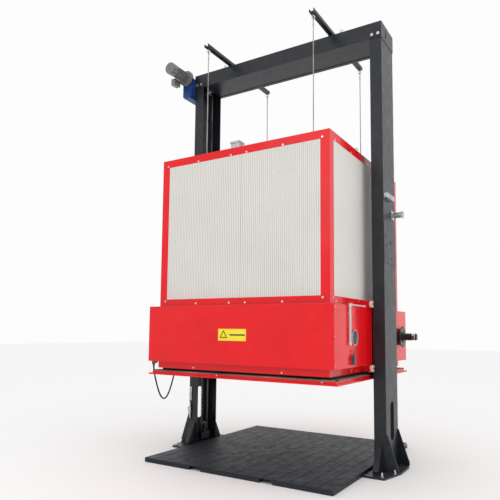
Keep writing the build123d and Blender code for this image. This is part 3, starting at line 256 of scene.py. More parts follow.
def worn_paint_group():
    """Paint with cloudy tone, rubbed edges that show primer, fine scratches and settled dust."""
    tree, inp, out = group("worn_paint", [
        ("Paint", COLOUR, (0.5, 0.5, 0.5, 1)), ("Bare", COLOUR, (0.3, 0.3, 0.3, 1)),
        ("Dust", COLOUR, (0.4, 0.38, 0.35, 1)), ("Tone", FLOAT, 0.1), ("Wear", FLOAT, 0.3),
        ("Dustiness", FLOAT, 0.2), ("Gloss low", FLOAT, 0.25), ("Gloss high", FLOAT, 0.4),
        ("Edge size", FLOAT, 0.004)],
        [("Colour", COLOUR), ("Roughness", FLOAT), ("Normal", VECTOR)])
    make, link, span, maths = nodes_of(tree)
    place = make("ShaderNodeTexCoord").outputs["Object"]

    def noise(scale, detail, rough=0.55):
        node = make("ShaderNodeTexNoise", Scale=scale, Detail=detail, Roughness=rough)
        link(place, node.inputs["Vector"])
        return node.outputs["Fac"]

    def mix(factor, a, b):
        node = make("ShaderNodeMix", data_type="RGBA")
        link(factor, node.inputs["Factor"])
        link(a, node.inputs["A"])
        link(b, node.inputs["B"])
        return node.outputs["Result"]

    cloud = noise(scale=2.3, detail=5)
    fine = noise(scale=38.0, detail=6)
    bright = make("ShaderNodeHueSaturation")
    link(inp.outputs["Paint"], bright.inputs["Color"])
    swing = span(cloud, low=0.3, high=0.7, to_low=-1, to_high=1)
    tone = maths("MULTIPLY", swing, inp.outputs["Tone"])
    link(maths("ADD", tone, 1.0), bright.inputs["Value"])
    bevel = make("ShaderNodeBevel", samples=4)
    link(inp.outputs["Edge size"], bevel.inputs["Radius"])
    geometry = make("ShaderNodeNewGeometry")
    dot = make("ShaderNodeVectorMath", operation="DOT_PRODUCT")
    link(bevel.outputs["Normal"], dot.inputs[0])
    link(geometry.outputs["Normal"], dot.inputs[1])
    edge = span(dot.outputs["Value"], low=0.995, high=0.86)
    rubbed = maths("MULTIPLY", edge, span(fine, low=0.5, high=0.62))
    rubbed = maths("MULTIPLY", rubbed, inp.outputs["Wear"])
    scratch_place = make("ShaderNodeMapping")
    scratch_place.inputs["Scale"].default_value = (3.0, 2.2, 0.16)
    scratch_place.inputs["Rotation"].default_value = (0.3, 0.5, 0.2)
    link(place, scratch_place.inputs["Vector"])
    scratch = make("ShaderNodeTexNoise", Scale=55.0, Detail=4.0)
    link(scratch_place.outputs["Vector"], scratch.inputs["Vector"])
    lines = span(scratch.outputs["Fac"], low=0.69, high=0.73)
    scratched = maths("MULTIPLY", lines, maths("MULTIPLY", inp.outputs["Wear"], SCRATCH_SHARE))
    worn = maths("MAXIMUM", rubbed, scratched)
    colour = mix(worn, bright.outputs["Color"], inp.outputs["Bare"])
    facing = make("ShaderNodeSeparateXYZ")
    link(geometry.outputs["Normal"], facing.inputs[0])
    upward = span(facing.outputs["Z"], low=0.2, high=0.95)
    patches = span(noise(scale=9.0, detail=7, rough=0.62), low=0.38, high=0.66)
    settled = maths("MULTIPLY", patches, inp.outputs["Dustiness"])
    catch = maths("ADD", maths("MULTIPLY", upward, DUST_ON_TOP), DUST_ON_SIDES)
    dust = maths("MULTIPLY", settled, catch)
    link(mix(dust, colour, inp.outputs["Dust"]), out.inputs["Colour"])
    spread = maths("SUBTRACT", inp.outputs["Gloss high"], inp.outputs["Gloss low"])
    uneven = span(noise(scale=14.0, detail=5), low=0.3, high=0.7)
    rough = maths("ADD", inp.outputs["Gloss low"], maths("MULTIPLY", spread, uneven))
    link(maths("ADD", rough, maths("MULTIPLY", dust, DUST_DULLS)), out.inputs["Roughness"])
    link(bevel.outputs["Normal"], out.inputs["Normal"])
    return tree


def metal_group():
    """Bare metal with a crystal spangle, dull smears and a fine grain."""
    tree, inp, out = group("bare_metal", [
        ("Metal", COLOUR, (0.6, 0.6, 0.6, 1)), ("Dirt", COLOUR, (0.1, 0.09, 0.08, 1)),
        ("Spangle", FLOAT, 0.2), ("Dirtiness", FLOAT, 0.2), ("Gloss low", FLOAT, 0.25),
        ("Gloss high", FLOAT, 0.45), ("Grain size", FLOAT, 60.0), ("Edge size", FLOAT, 0.002)],
        [("Colour", COLOUR), ("Roughness", FLOAT), ("Normal", VECTOR), ("Height", FLOAT)])
    make, link, span, maths = nodes_of(tree)
    place = make("ShaderNodeTexCoord").outputs["Object"]

    cells = make("ShaderNodeTexVoronoi")
    link(place, cells.inputs["Vector"])
    link(inp.outputs["Grain size"], cells.inputs["Scale"])
    cell_tone = make("ShaderNodeSeparateColor")
    link(cells.outputs["Color"], cell_tone.inputs["Color"])
    smear = make("ShaderNodeTexNoise", Scale=7.0, Detail=8.0, Roughness=0.62)
    link(place, smear.inputs["Vector"])
    swing = span(cell_tone.outputs["Red"], low=0, high=1, to_low=-0.5, to_high=0.5)
    value = maths("MULTIPLY", swing, inp.outputs["Spangle"])
    tint = make("ShaderNodeHueSaturation")
    link(inp.outputs["Metal"], tint.inputs["Color"])
    link(maths("ADD", value, 1.0), tint.inputs["Value"])
    smears = span(smear.outputs["Fac"], low=0.42, high=0.68)
    dirty = maths("MULTIPLY", smears, inp.outputs["Dirtiness"])
    blend = make("ShaderNodeMix", data_type="RGBA")
    link(dirty, blend.inputs["Factor"])
    link(tint.outputs["Color"], blend.inputs["A"])
    link(inp.outputs["Dirt"], blend.inputs["B"])
    link(blend.outputs["Result"], out.inputs["Colour"])
    spread = maths("SUBTRACT", inp.outputs["Gloss high"], inp.outputs["Gloss low"])
    uneven = maths("MULTIPLY", spread, cell_tone.outputs["Green"])
    rough = maths("ADD", inp.outputs["Gloss low"], uneven)
    link(maths("ADD", rough, maths("MULTIPLY", dirty, DIRT_DULLS)), out.inputs["Roughness"])
    bevel = make("ShaderNodeBevel", samples=4)
    link(inp.outputs["Edge size"], bevel.inputs["Radius"])
    link(bevel.outputs["Normal"], out.inputs["Normal"])
    fine = make("ShaderNodeTexNoise", Scale=400.0, Detail=3.0)
    link(place, fine.inputs["Vector"])
    link(fine.outputs["Fac"], out.inputs["Height"])
    return tree


COAT_ROUGHNESS = 0.05
PAINT_GROUP = worn_paint_group()
METAL_GROUP = metal_group()


def shader(name, metallic=0.0, coat=0.0, specular=0.5):
    """A material, its tree and its principled node."""
    material = bpy.data.materials.new(name)
    material.use_nodes = True
    tree = material.node_tree
    principled = tree.nodes["Principled BSDF"]
    principled.inputs["Metallic"].default_value = metallic
    principled.inputs["Coat Weight"].default_value = coat
    principled.inputs["Coat Roughness"].default_value = COAT_ROUGHNESS
    principled.inputs["Specular IOR Level"].default_value = specular
    return material, tree, principled


def use_group(tree, which, values):
    """A node group in the tree, with its inputs set; a colour gets its fourth value here."""
    node = tree.nodes.new("ShaderNodeGroup")
    node.node_tree = which
    for key, value in values.items():
        node.inputs[key].default_value = (*value, 1) if isinstance(value, tuple) else value
    return node


def bump_into(tree, principled, height, normal, strength, distance):
    """Bump from a height, over a given normal, into the principled node."""
    bump = tree.nodes.new("ShaderNodeBump")
    bump.inputs["Strength"].default_value = strength
    bump.inputs["Distance"].default_value = distance
    tree.links.new(height, bump.inputs["Height"])
    tree.links.new(normal, bump.inputs["Normal"])
    tree.links.new(bump.outputs["Normal"], principled.inputs["Normal"])


def paint(name, colour, bare=(0.25, 0.24, 0.23), dust=(0.42, 0.4, 0.37), tone=0.08, wear=0.4,
          dustiness=0.15, gloss=(0.25, 0.4), coat=0.0, peel=220.0, peel_depth=0.15, specular=0.5):
    """A painted finish: worn paint colour and roughness over an orange-peel bump."""
    material, tree, principled = shader(name, coat=coat, specular=specular)
    worn = use_group(tree, PAINT_GROUP, {
        "Paint": colour, "Bare": bare, "Dust": dust, "Tone": tone, "Wear": wear,
        "Dustiness": dustiness, "Gloss low": gloss[0], "Gloss high": gloss[1],
        "Edge size": PAINT_EDGE})
    tree.links.new(worn.outputs["Colour"], principled.inputs["Base Color"])
    tree.links.new(worn.outputs["Roughness"], principled.inputs["Roughness"])
    coords = tree.nodes.new("ShaderNodeTexCoord")
    grain = tree.nodes.new("ShaderNodeTexNoise")
    grain.inputs["Scale"].default_value = peel
    grain.inputs["Detail"].default_value = 2.0
    tree.links.new(coords.outputs["Object"], grain.inputs["Vector"])
    bump_into(tree, principled, grain.outputs["Fac"], worn.outputs["Normal"], peel_depth,
              PEEL_DISTANCE)
    return material


def metal(name, colour, dirt=(0.1, 0.09, 0.08), spangle=0.2, dirtiness=0.25,
          gloss=(0.25, 0.45), grain=60.0):
    """A bare metal finish."""
    material, tree, principled = shader(name, metallic=1.0)
    bare = use_group(tree, METAL_GROUP, {
        "Metal": colour, "Dirt": dirt, "Spangle": spangle, "Dirtiness": dirtiness,
        "Gloss low": gloss[0], "Gloss high": gloss[1], "Grain size": grain,
        "Edge size": METAL_EDGE})
    tree.links.new(bare.outputs["Colour"], principled.inputs["Base Color"])
    tree.links.new(bare.outputs["Roughness"], principled.inputs["Roughness"])
    bump_into(tree, principled, bare.outputs["Height"], bare.outputs["Normal"], GRAIN_STRENGTH,
              GRAIN_DISTANCE)
    return material


# ---- finishes ----------------------------------------------------------------------
FINISH = {
    "deck_steel": paint("deck_paint", (0.007, 0.011, 0.019), bare=(0.04, 0.045, 0.05),
                        dust=(0.05, 0.058, 0.07), tone=0.3, wear=0.4, dustiness=0.2,
                        specular=0.35, gloss=(0.42, 0.6), peel=120.0, peel_depth=0.3),
    "gantry_black": paint("gantry_paint", (0.007, 0.010, 0.015), specular=0.4,
                          bare=(0.06, 0.06, 0.06), tone=0.14, wear=0.35, dustiness=0.1,
                          gloss=(0.3, 0.42), peel=260.0, peel_depth=0.22),
    "bell_red": paint("bell_enamel", (0.76, 0.001, 0.006), bare=(0.35, 0.06, 0.05), tone=0.06,
                      wear=0.25, dustiness=0.05, gloss=(0.14, 0.24), coat=0.15, specular=0.28,
                      peel=150.0, peel_depth=0.06),
    "panel_white": paint("panel_coating", (0.72, 0.70, 0.655), bare=(0.5, 0.5, 0.48), tone=0.03,
                         wear=0.1, dustiness=0.06, gloss=(0.34, 0.46), peel=320.0,
                         peel_depth=0.08),
    "gear_blue": paint("gear_enamel", (0.0, 0.03, 0.17), bare=(0.1, 0.1, 0.1), tone=0.12,
                       wear=0.35, dustiness=0.1, gloss=(0.25, 0.4), peel=180.0, peel_depth=0.25),
    "pipe_white": paint("pipe_paint", (0.62, 0.62, 0.6), tone=0.08, wear=0.3, dustiness=0.2,
                        gloss=(0.25, 0.4)),
    "box_grey": paint("moulded_grey", (0.075, 0.085, 0.09), bare=(0.15, 0.15, 0.15), tone=0.08,
                      wear=0.2, dustiness=0.15, gloss=(0.35, 0.5), peel=500.0, peel_depth=0.3),
    "fan_motor_black": paint("motor_enamel", (0.012, 0.012, 0.014), bare=(0.2, 0.2, 0.2),
                             tone=0.1, wear=0.4, dustiness=0.15, gloss=(0.25, 0.4)),
    "nylon_white": paint("cast_nylon", (0.72, 0.71, 0.66), bare=(0.5, 0.49, 0.45), tone=0.05,
                         wear=0.2, dustiness=0.15, gloss=(0.3, 0.42), peel=300.0, peel_depth=0.1),
    "cable_black": paint("cable_rubber", (0.004, 0.004, 0.005), bare=(0.02, 0.02, 0.02), tone=0.1,
                         wear=0.1, dustiness=0.03, specular=0.2, gloss=(0.42, 0.6), peel=500.0,
                         peel_depth=0.15),
    "bolt_zinc": metal("zinc_plate", (0.62, 0.62, 0.6), spangle=0.25, gloss=(0.22, 0.4),
                       grain=240.0),
    "screw_steel": metal("bright_screw", (0.75, 0.75, 0.74), spangle=0.1, dirtiness=0.1,
                         gloss=(0.12, 0.25), grain=300.0),
    "galvanised": metal("zinc_coated_sheet", (0.5, 0.52, 0.53), spangle=0.35, gloss=(0.3, 0.5),
                        grain=70.0),
    "rope_wire": metal("rope_strand", (0.42, 0.41, 0.39), spangle=0.4, dirtiness=0.45,
                       gloss=(0.35, 0.55), grain=500.0),
    "motor_silver": paint("motor_silver", (0.15, 0.148, 0.14), bare=(0.3, 0.3, 0.29), tone=0.2,
                          wear=0.4, dustiness=0.25, gloss=(0.2, 0.34), specular=0.9, peel=200.0,
                          peel_depth=0.2),
    "chain_steel": metal("oiled_chain", (0.16, 0.15, 0.14), dirt=(0.02, 0.018, 0.015),
                         spangle=0.3, dirtiness=0.7, gloss=(0.25, 0.45), grain=200.0),
    "shaft_steel": metal("turned_steel", (0.5, 0.5, 0.51), spangle=0.1, dirtiness=0.3,
                         gloss=(0.18, 0.32), grain=150.0),
    "wheel_iron": metal("machined_iron", (0.12, 0.12, 0.125), dirt=(0.03, 0.025, 0.02),
                        spangle=0.2, dirtiness=0.5, gloss=(0.3, 0.5), grain=120.0),
    "wool_board": paint("wool_board", (0.42, 0.36, 0.2), tone=0.3, wear=0.0, dustiness=0.3,
                        gloss=(0.8, 0.95), peel=900.0, peel_depth=0.9, specular=0.1),
    "seal_weave": paint("seal_weave", (0.17, 0.17, 0.13), tone=0.5, wear=0.2, dustiness=0.4,
                        gloss=(0.75, 0.95), peel=240.0, peel_depth=1.0, specular=0.15),
}
for subpart in frame["record"]["subparts"]:
    cad_node = NODES[subpart["node"]]
    cad_node.data.materials.clear()
    cad_node.data.materials.append(FINISH[subpart["material_slot"]])


# ---- camera ------------------------------------------------------------------------
CAMERA_PLACE = Vector((2.9253, -5.5664, 1.4105))
CAMERA_AZIMUTH = math.radians(31.886)
CAMERA_PITCH = math.radians(5.303)
CAMERA_ROLL = math.radians(0.598)


def camera():
    """The camera, turned by its azimuth and pitch, then rolled."""
    right = Vector((math.cos(CAMERA_AZIMUTH), math.sin(CAMERA_AZIMUTH), 0))
    ahead = Vector((-math.sin(CAMERA_AZIMUTH) * math.cos(CAMERA_PITCH),
                    math.cos(CAMERA_AZIMUTH) * math.cos(CAMERA_PITCH), math.sin(CAMERA_PITCH)))
    up = right.cross(ahead)
    x_axis = right * math.cos(CAMERA_ROLL) + up * math.sin(CAMERA_ROLL)
    y_axis = up * math.cos(CAMERA_ROLL) - right * math.sin(CAMERA_ROLL)
    data = bpy.data.cameras.new("camera")
    data.sensor_width = 36.0
    data.lens = 38.27
    data.shift_x = 0.0053
    data.shift_y = 0.0622
    data.clip_end = 100.0
    obj = bpy.data.objects.new("camera", data)
    bpy.context.scene.collection.objects.link(obj)
    turn = Matrix((x_axis, y_axis, -ahead)).transposed()
    obj.matrix_world = Matrix.Translation(CAMERA_PLACE) @ turn.to_4x4()
    bpy.context.scene.camera = obj


camera()


# ---- cords -------------------------------------------------------------------------
CABLE_RADIUS = 0.0085
CABLE_ROUTE = [(-1.072, -1.078, 1.036), (-1.128, -1.012, 0.960), (-1.143, -0.938, 0.790),
               (-1.158, -0.862, 0.670), (-1.171, -0.795, 0.618), (-1.185, -0.722, 0.622),
               (-1.198, -0.655, 0.682), (-1.212, -0.582, 0.800), (-1.221, -0.520, 0.960),
               (-1.228, -0.483, 1.140), (-1.230, -0.466, 1.320), (-1.230, -0.458, 1.480)]
ROPE_RADIUS = 0.0055
ROPE_CROWN = 1.06          # strand crowns over the nominal radius
ROPE_LAY = 0.06            # length of one turn of the strands
RELIEF_START, RELIEF_END = -0.002, 0.042
RELIEF_RADIUS = 0.0135
RELIEF_TAPER = 0.0042
RELIEF_RIB = 0.0006
RELIEF_RIBS = 5
THIMBLE_HALF_WIDTH = 0.012
THIMBLE_HALF_HEIGHT = 0.019
THIMBLE_LIFT = 0.008
THIMBLE_RADIUS = 0.0036
ROPE_X = {"left": ROPE_LOW.x + ROPE_RADIUS, "right": ROPE_HIGH.x - ROPE_RADIUS}
ROPE_Y = {"front": ROPE_LOW.y + ROPE_RADIUS, "rear": ROPE_HIGH.y - ROPE_RADIUS}


def smooth_line(route, resolution=12):
    """Points along the route's own spline, read from the curve itself."""
    curve = bpy.data.curves.new("route", "CURVE")
    curve.dimensions = "3D"
    curve.resolution_u = resolution
    spline = curve.splines.new("NURBS")
    spline.points.add(len(route) - 1)
    for point, place in zip(spline.points, route):
        point.co = (*place, 1)
    spline.order_u = 3
    spline.use_endpoint_u = True
    obj = bpy.data.objects.new("route", curve)
    bpy.context.scene.collection.objects.link(obj)
    mesh = bpy.data.meshes.new_from_object(obj)
    line = np.array([v.co[:] for v in mesh.vertices])
    bpy.data.objects.remove(obj)
    bpy.data.curves.remove(curve)
    bpy.data.meshes.remove(mesh)
    return line


def power_cable():
    """Round rubber cable, bent between the bell and the left column."""
    line = smooth_line(CABLE_ROUTE)
    obj = Mesh().add(*tube(line, CABLE_RADIUS, 16, capped=True)).piece(
        "trailing_cable", None, "cable_black", FINISH["cable_black"], replaces=("power_cable",))
    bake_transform(obj)


def wire_ropes():
    """Six-lobed strands twisted round four straight lines."""
    length = ROPE_HIGH.z - ROPE_LOW.z
    for side, x in ROPE_X.items():
        for end, y in ROPE_Y.items():
            heights = np.linspace(ROPE_HIGH.z, ROPE_LOW.z, 12)
            line = smooth_line([(x, y, z) for z in heights], 30)
            surface = tube(line, ROPE_RADIUS * ROPE_CROWN, 18, capped=True, lobes=6,
                           lobe_depth=0.2, turns=length / ROPE_LAY)
            rope = Mesh().add(*surface).piece(
                f"wire_rope_{side}_{end}", "gantry", "rope_wire", FINISH["rope_wire"],
                replaces=("suspension_ropes",))


def cable_relief():
    """Rubber sleeve where the cable leaves its gland: an even taper with five ribs."""
    run = np.array(CABLE_ROUTE[1]) - np.array(CABLE_ROUTE[0])
    along = np.linspace(RELIEF_START, RELIEF_END, 23)
    share = (along - along[0]) / (along[-1] - along[0])
    ribs = RELIEF_RIB * np.cos(share * 2 * RELIEF_RIBS * math.pi)
    radius = RELIEF_RADIUS - RELIEF_TAPER * share + ribs
    bore = CABLE_RADIUS * 0.9
    profile = [(along[0], bore)] + list(zip(along, radius)) + [(along[-1], bore)]
    Mesh().add(*turned(profile, CABLE_ROUTE[0], run, 24)).piece(
        "cable_relief", "bell", "cable_black", FINISH["cable_black"])


def rope_thimbles():
    """An oval loop at the head of each rope: y and z follow a sine and a cosine of one angle."""
    mesh = Mesh()
    angle = np.linspace(0, 2 * math.pi, 33)
    for x in ROPE_X.values():
        for y in ROPE_Y.values():
            loop = np.stack([np.full_like(angle, x), y + THIMBLE_HALF_WIDTH * np.sin(angle),
                             ROPE_HIGH.z + THIMBLE_LIFT + THIMBLE_HALF_HEIGHT * np.cos(angle)], 1)
            mesh.add(*tube(loop, THIMBLE_RADIUS, 10))
    mesh.piece("rope_thimbles", "gantry", "rope_wire", FINISH["rope_wire"])


power_cable()
wire_ropes()
cable_relief()
rope_thimbles()


# ---- casing skins --------------------------------------------------------------------
RIB_PITCH = 0.022
TRIM = 0.003
PANEL_SEAMS = (0.035, 0.030)        # place of the seam along x, and along y
SEAM_HALF = 0.001
RIB_CORNERS = np.array([0.0, 0.72, 0.80, 0.92])      # shares of the pitch
LAND_HEIGHT = 0.0024
FLOOR_HEIGHT = 0.0004
# the dark strips of painted shade in each groove: where each starts, its width and its height
STRIP_START = 0.79                  # share of the pitch, as the next one
STRIP_WIDTH = 0.15
STRIP_HEIGHT = 0.0007
# painted shade: a darker grey laid in each groove of the white panels, standing for the shade
# that falls into each groove
GROOVE_PAINTED_SHADE = paint("panel_groove_painted_shade", (0.33, 0.325, 0.31), tone=0.03, wear=0.0, dustiness=0.2,
                      gloss=(0.4, 0.55))


def ribbed_skin(start, end, z0, z1):
    """Strip of upright ribs: each pitch is a flat land, then a sloping groove 2 mm deep."""
    count = max(1, round((end - start) / RIB_PITCH))
    pitch = (end - start) / count
    base = start + pitch * np.arange(count)[:, None]
    along = (base + pitch * RIB_CORNERS).ravel()
    rise = np.tile([LAND_HEIGHT, LAND_HEIGHT, FLOOR_HEIGHT, FLOOR_HEIGHT], count)
    along = np.append(along, end)
    rise = np.append(rise, LAND_HEIGHT)
    rows = [np.stack([along, rise, np.full_like(along, z)], 1) for z in (z0, z1)]
    return np.concatenate(rows), grid_faces(2, len(along))


def painted_shade_strips(start, end, z0, z1):
    """Narrow dark strips of painted shade, lying in the floor of each groove of the ribbed skin,
    one per pitch.
    """
    count = max(1, round((end - start) / RIB_PITCH))
    pitch = (end - start) / count
    corners = []
    for x in start + pitch * (np.arange(count) + STRIP_START):
        x_end = x + STRIP_WIDTH * pitch
        corners += [(x, STRIP_HEIGHT, z0), (x_end, STRIP_HEIGHT, z0),
                    (x_end, STRIP_HEIGHT, z1), (x, STRIP_HEIGHT, z1)]
    return np.array(corners), np.arange(4 * count).reshape(-1, 4)


def casing_skins():
    """Ribbed skins over the four walls, split at the panel seams, with dark strips of painted
    shade in each groove.
    """
    z0 = CASING_LOW.z + TRIM
    z1 = CASING_HIGH.z - TRIM
    wall = (CASING_HIGH.x - TRIM, CASING_HIGH.y - TRIM)
    for name, sign, along in (("front", -1, 0), ("rear", 1, 0), ("left", -1, 1), ("right", 1, 1)):
        across = 1 - along
        as_drawn = (sign > 0) == (along == 0)
        seam = PANEL_SEAMS[along]
        # the second mesh gathers the dark strips of painted shade
        skin, groove_painted_shade = Mesh(), Mesh()
        for start, end in ((-wall[along], seam - SEAM_HALF), (seam + SEAM_HALF, wall[along])):
            for target, shape in ((skin, ribbed_skin), (groove_painted_shade, painted_shade_strips)):
                strip, faces = shape(start, end, z0, z1)
                points = np.empty_like(strip)
                points[:, along] = strip[:, 0]
                points[:, across] = sign * (wall[across] + strip[:, 1])
                points[:, 2] = strip[:, 2]
                target.add(points, faces if as_drawn else faces[:, ::-1])
        skin.piece(f"{name}_skin", "bell", "panel_white", FINISH["panel_white"], smooth=False)
        # dark strips of painted shade, one in each groove
        groove_painted_shade.piece(f"{name}_grooves", "bell", "panel_white", GROOVE_PAINTED_SHADE, smooth=False)


casing_skins()


# ---- label on the front cover ----------------------------------------------------------
LABEL_BOX = (-0.163, 0.168, 1.306, 1.424)      # x from and to, z from and to
PLATE_DEPTH = 0.0008
MARK_DEPTH = 0.0011
FINISH_LABEL = {
    "plate": paint("label_yellow", (0.9, 0.72, 0.02), tone=0.03, wear=0.1, dustiness=0.05,
                   gloss=(0.3, 0.4)),
    "mark": paint("label_print", (0.02, 0.02, 0.02), tone=0.05, wear=0.1, dustiness=0.05,
                  gloss=(0.3, 0.4)),
}


def label():
    """Yellow plate with a plain triangle outline and one dark line, sized from its height."""
    x0, x1, z0, z1 = LABEL_BOX
    y = JACKET_LOW.y
    plate = Mesh().add(*box_surface((x0, y - PLATE_DEPTH, z0), (x1, y, z1)))
    plate.piece("label_plate", "bell", "bell_red", FINISH_LABEL["plate"], smooth=False)
    high = z1 - z0
    centre = (x0 + 0.55 * high, z0 + 0.46 * high)
    corners = math.pi / 2 + 2 * math.pi / 3 * np.arange(3)
    mark = Mesh()
    rings = []
    for radius in (0.46 * high, 0.30 * high):
        rings.append(np.stack([centre[0] + radius * np.cos(corners), np.full(3, y - MARK_DEPTH),
                               centre[1] + radius * np.sin(corners)], 1))
    mark.add(np.concatenate(rings), grid_faces(2, 3, close_columns=True)[:, ::-1])
    line_start, line_end = centre[0] + 0.62 * high, x1 - 0.012
    line_low, line_high = z0 + 0.44 * high, z0 + 0.56 * high
    line = [(line_start, line_low), (line_end, line_low), (line_end, line_high),
            (line_start, line_high)]
    mark.add([(x, y - MARK_DEPTH, z) for x, z in line], np.array([[0, 1, 2, 3]]))
    mark.piece("label_mark", "bell", "bell_red", FINISH_LABEL["mark"], smooth=False)


label()


# ---- floor anchors and small fixings ------------------------------------------------------
ANCHORS = [(1.263, 0.405), (1.335, 0.228)]     # x and y of a foot's holes, mirrored both ways
FOOT_TOP = 0.020
ANCHOR_WASHER = [(0, 0.0085), (0, 0.017), (0.003, 0.017), (0.003, 0.0085)]
ANCHOR_STUD = [(-0.018, 0.0), (-0.018, 0.008), (0.038, 0.008), (0.040, 0.0066), (0.040, 0.0)]
NUT_SEAT = 0.023
NUT_FLATS = 0.024
NUT_HEIGHT = 0.013
PLANKS = 15
PLANK_PITCH = (DECK_HIGH.x - DECK_LOW.x) / PLANKS
SCREW_OFFSET = 0.045       # from the plank's middle, along x
SCREW_INSET = 0.012        # from the plank's end
SEAM_HALF_WIDTH = 0.0035


def floor_anchors():
    """Washer, nut and stud in every anchor hole of both feet."""
    mesh = Mesh()
    for x, y in ANCHORS:
        for sx in (-1, 1):
            for sy in (-1, 1):
                place = (sx * x, sy * y, FOOT_TOP)
                mesh.add(*turned(ANCHOR_WASHER, place, UP, 24))
                mesh.add(*hexagon((place[0], place[1], NUT_SEAT), UP, NUT_FLATS, NUT_HEIGHT))
                mesh.add(*turned(ANCHOR_STUD, place, UP, 20))
    mesh.piece("floor_anchors", "gantry", "bolt_zinc", FINISH["bolt_zinc"])


def plank_screws():
    """Two domed screws at each end of every deck plank."""
    mesh = Mesh()
    for index in range(PLANKS):
        for side in (-1, 1):
            x = DECK_LOW.x + (index + 0.5) * PLANK_PITCH + side * SCREW_OFFSET
            for y in (DECK_LOW.y + SCREW_INSET, DECK_HIGH.y - SCREW_INSET):
                mesh.add(*domed_screw((x, y, DECK_HIGH.z), UP, radius=0.006, height=0.0022))
    mesh.piece("plank_screws", "gantry", "deck_steel", FINISH["deck_steel"])


def plank_seams():
    """Dark joints between the planks: a flat strip over each gap, 0.1 mm proud."""
    mesh = Mesh()
    for index in range(1, PLANKS):
        x = DECK_LOW.x + index * PLANK_PITCH
        mesh.add(*box_surface(
            (x - SEAM_HALF_WIDTH, DECK_LOW.y + 0.001, DECK_HIGH.z - 0.004),
            (x + SEAM_HALF_WIDTH, DECK_HIGH.y - 0.001, DECK_HIGH.z + 0.0001)))
    mesh.piece("plank_seams", "gantry", "deck_steel", SEAM_FINISH, smooth=False)


SEAM_FINISH = paint("deck_joint", (0.002, 0.002, 0.003), tone=0.1, wear=0.0, dustiness=0.0,
                    gloss=(0.6, 0.8), specular=0.1)
FRONT = (0, -1, 0)
RIGHT = (1, 0, 0)
HEXAGON_FROM = 0.008       # fixings above this radius are hexagon heads, the others rivets
BOLTS = [                  # body, name, radius, and each seat with its direction
    ("bell", "flange_bolts", 0.011,
     [((x, -1.071, 1.016), FRONT) for x in (-0.524, 0.524)]
     + [((1.009, y, z), RIGHT) for y, z in ((-0.538, 1.02), (-0.40, 1.02), (0.538, 1.02))]),
    ("bumper", "bumper_bolts", 0.010,
     [((x, -1.09, 0.952), FRONT) for x in (-0.213, 0.945)]),
    ("bell", "cover_rivets", 0.006,
     [((1.086, y, z), RIGHT) for y in (-1.115, 1.115) for z in (1.632, 1.367, 1.100)]),
    ("bell", "trim_rivets", 0.006,
     [((1.014, y, z), RIGHT) for y, z in ((-0.312, 1.719), (-0.988, 1.721), (-0.988, 1.733))]),
]


def small_bolts():
    """Low hexagon heads and rivets at the listed seats."""
    for body, name, radius, seats in BOLTS:
        mesh = Mesh()
        for seat, axis in seats:
            if radius > HEXAGON_FROM:
                mesh.add(*hexagon(seat, axis, across_flats=radius * 1.7, height=radius * 0.6))
            else:
                mesh.add(*domed_screw(seat, axis, radius, height=0.003))
        mesh.piece(name, body, "bolt_zinc", FINISH["bolt_zinc"])


floor_anchors()
plank_screws()
plank_seams()
small_bolts()


# ---- fan motors ---------------------------------------------------------------------------
FAN_X = 1.086              # the face that carries each motor
FAN_Y = 0.838
FAN_Z = 1.354
FINS = 9
FIN_START = 0.072
FIN_PITCH = 0.010
FIN_PROFILE = [(0, 0.037), (0.0005, 0.0425), (0.0030, 0.0425), (0.0035, 0.037)]
CAP_START = 0.164
CAP_SHOULDER = 0.192
CAP_DEPTH = 0.0275
CAP_RADIUS = 0.0430


def fan_details():
    """Ring fins round each fan motor, and a bright end shaped as half an ellipsoid."""
    angle = np.linspace(0, math.pi / 2, 13)
    for side, name in ((-1, "left"), (1, "right")):
        start = side * FAN_X
        axis = (side, 0, 0)
        fins = Mesh()
        for index in range(FINS):
            place = start + side * (FIN_START + FIN_PITCH * index)
            fins.add(*turned(FIN_PROFILE, (place, FAN_Y, FAN_Z), axis, 36))
        fins.piece(f"fan_fins_{name}", "bell", "fan_motor_black", FINISH["fan_motor_black"])
        dome = [(CAP_START, 0.0425), (CAP_SHOULDER, CAP_RADIUS)]
        dome += [(CAP_SHOULDER + CAP_DEPTH * math.sin(a), CAP_RADIUS * math.cos(a) + 0.0002)
                 for a in angle[1:]]
        cap = Mesh().add(*turned(dome, (start, FAN_Y, FAN_Z), axis, 40))
        cap.piece(f"fan_cap_{name}", "bell", "screw_steel", FINISH["screw_steel"])


fan_details()


# ---- lift chains ---------------------------------------------------------------------------
CHAIN_PITCH = 0.0254
WHEEL_RADIUS = 0.060
WHEEL_LOW = 0.200
WHEEL_HIGH = 4.605
CHAIN_INSET = 0.009        # from the outer face of the chains to a chain's middle
ROLLER_PROFILE = [(-0.0080, 0.0030), (-0.0080, 0.0045), (0.0080, 0.0045), (0.0080, 0.0030)]
LINK_REACH = 0.0045        # plate beyond its pin
LINK_HALF_HEIGHT = 0.0055
LINK_HALF_THICKNESS = 0.0008
INNER_LINK, OUTER_LINK = 0.0045, 0.0066      # plates from the chain's middle


def chain_places():
    """Evenly spaced points and directions round two half circles joined by two straight runs."""
    run = WHEEL_HIGH - WHEEL_LOW
    turn = math.pi * WHEEL_RADIUS
    total = 2 * (run + turn)
    count = 2 * round(total / CHAIN_PITCH / 2)
    places = []
    for distance in np.arange(count) * total / count:
        if distance < run:
            places.append((-WHEEL_RADIUS, WHEEL_LOW + distance, math.pi / 2))
        elif distance < run + turn:
            a = (distance - run) / WHEEL_RADIUS
            places.append((-WHEEL_RADIUS * math.cos(a), WHEEL_HIGH + WHEEL_RADIUS * math.sin(a),
                           math.pi / 2 - a))
        elif distance < 2 * run + turn:
            places.append((WHEEL_RADIUS, WHEEL_HIGH - (distance - run - turn), -math.pi / 2))
        else:
            a = (distance - 2 * run - turn) / WHEEL_RADIUS
            places.append((WHEEL_RADIUS * math.cos(a), WHEEL_LOW - WHEEL_RADIUS * math.sin(a),
                           -math.pi / 2 - a))
    return places


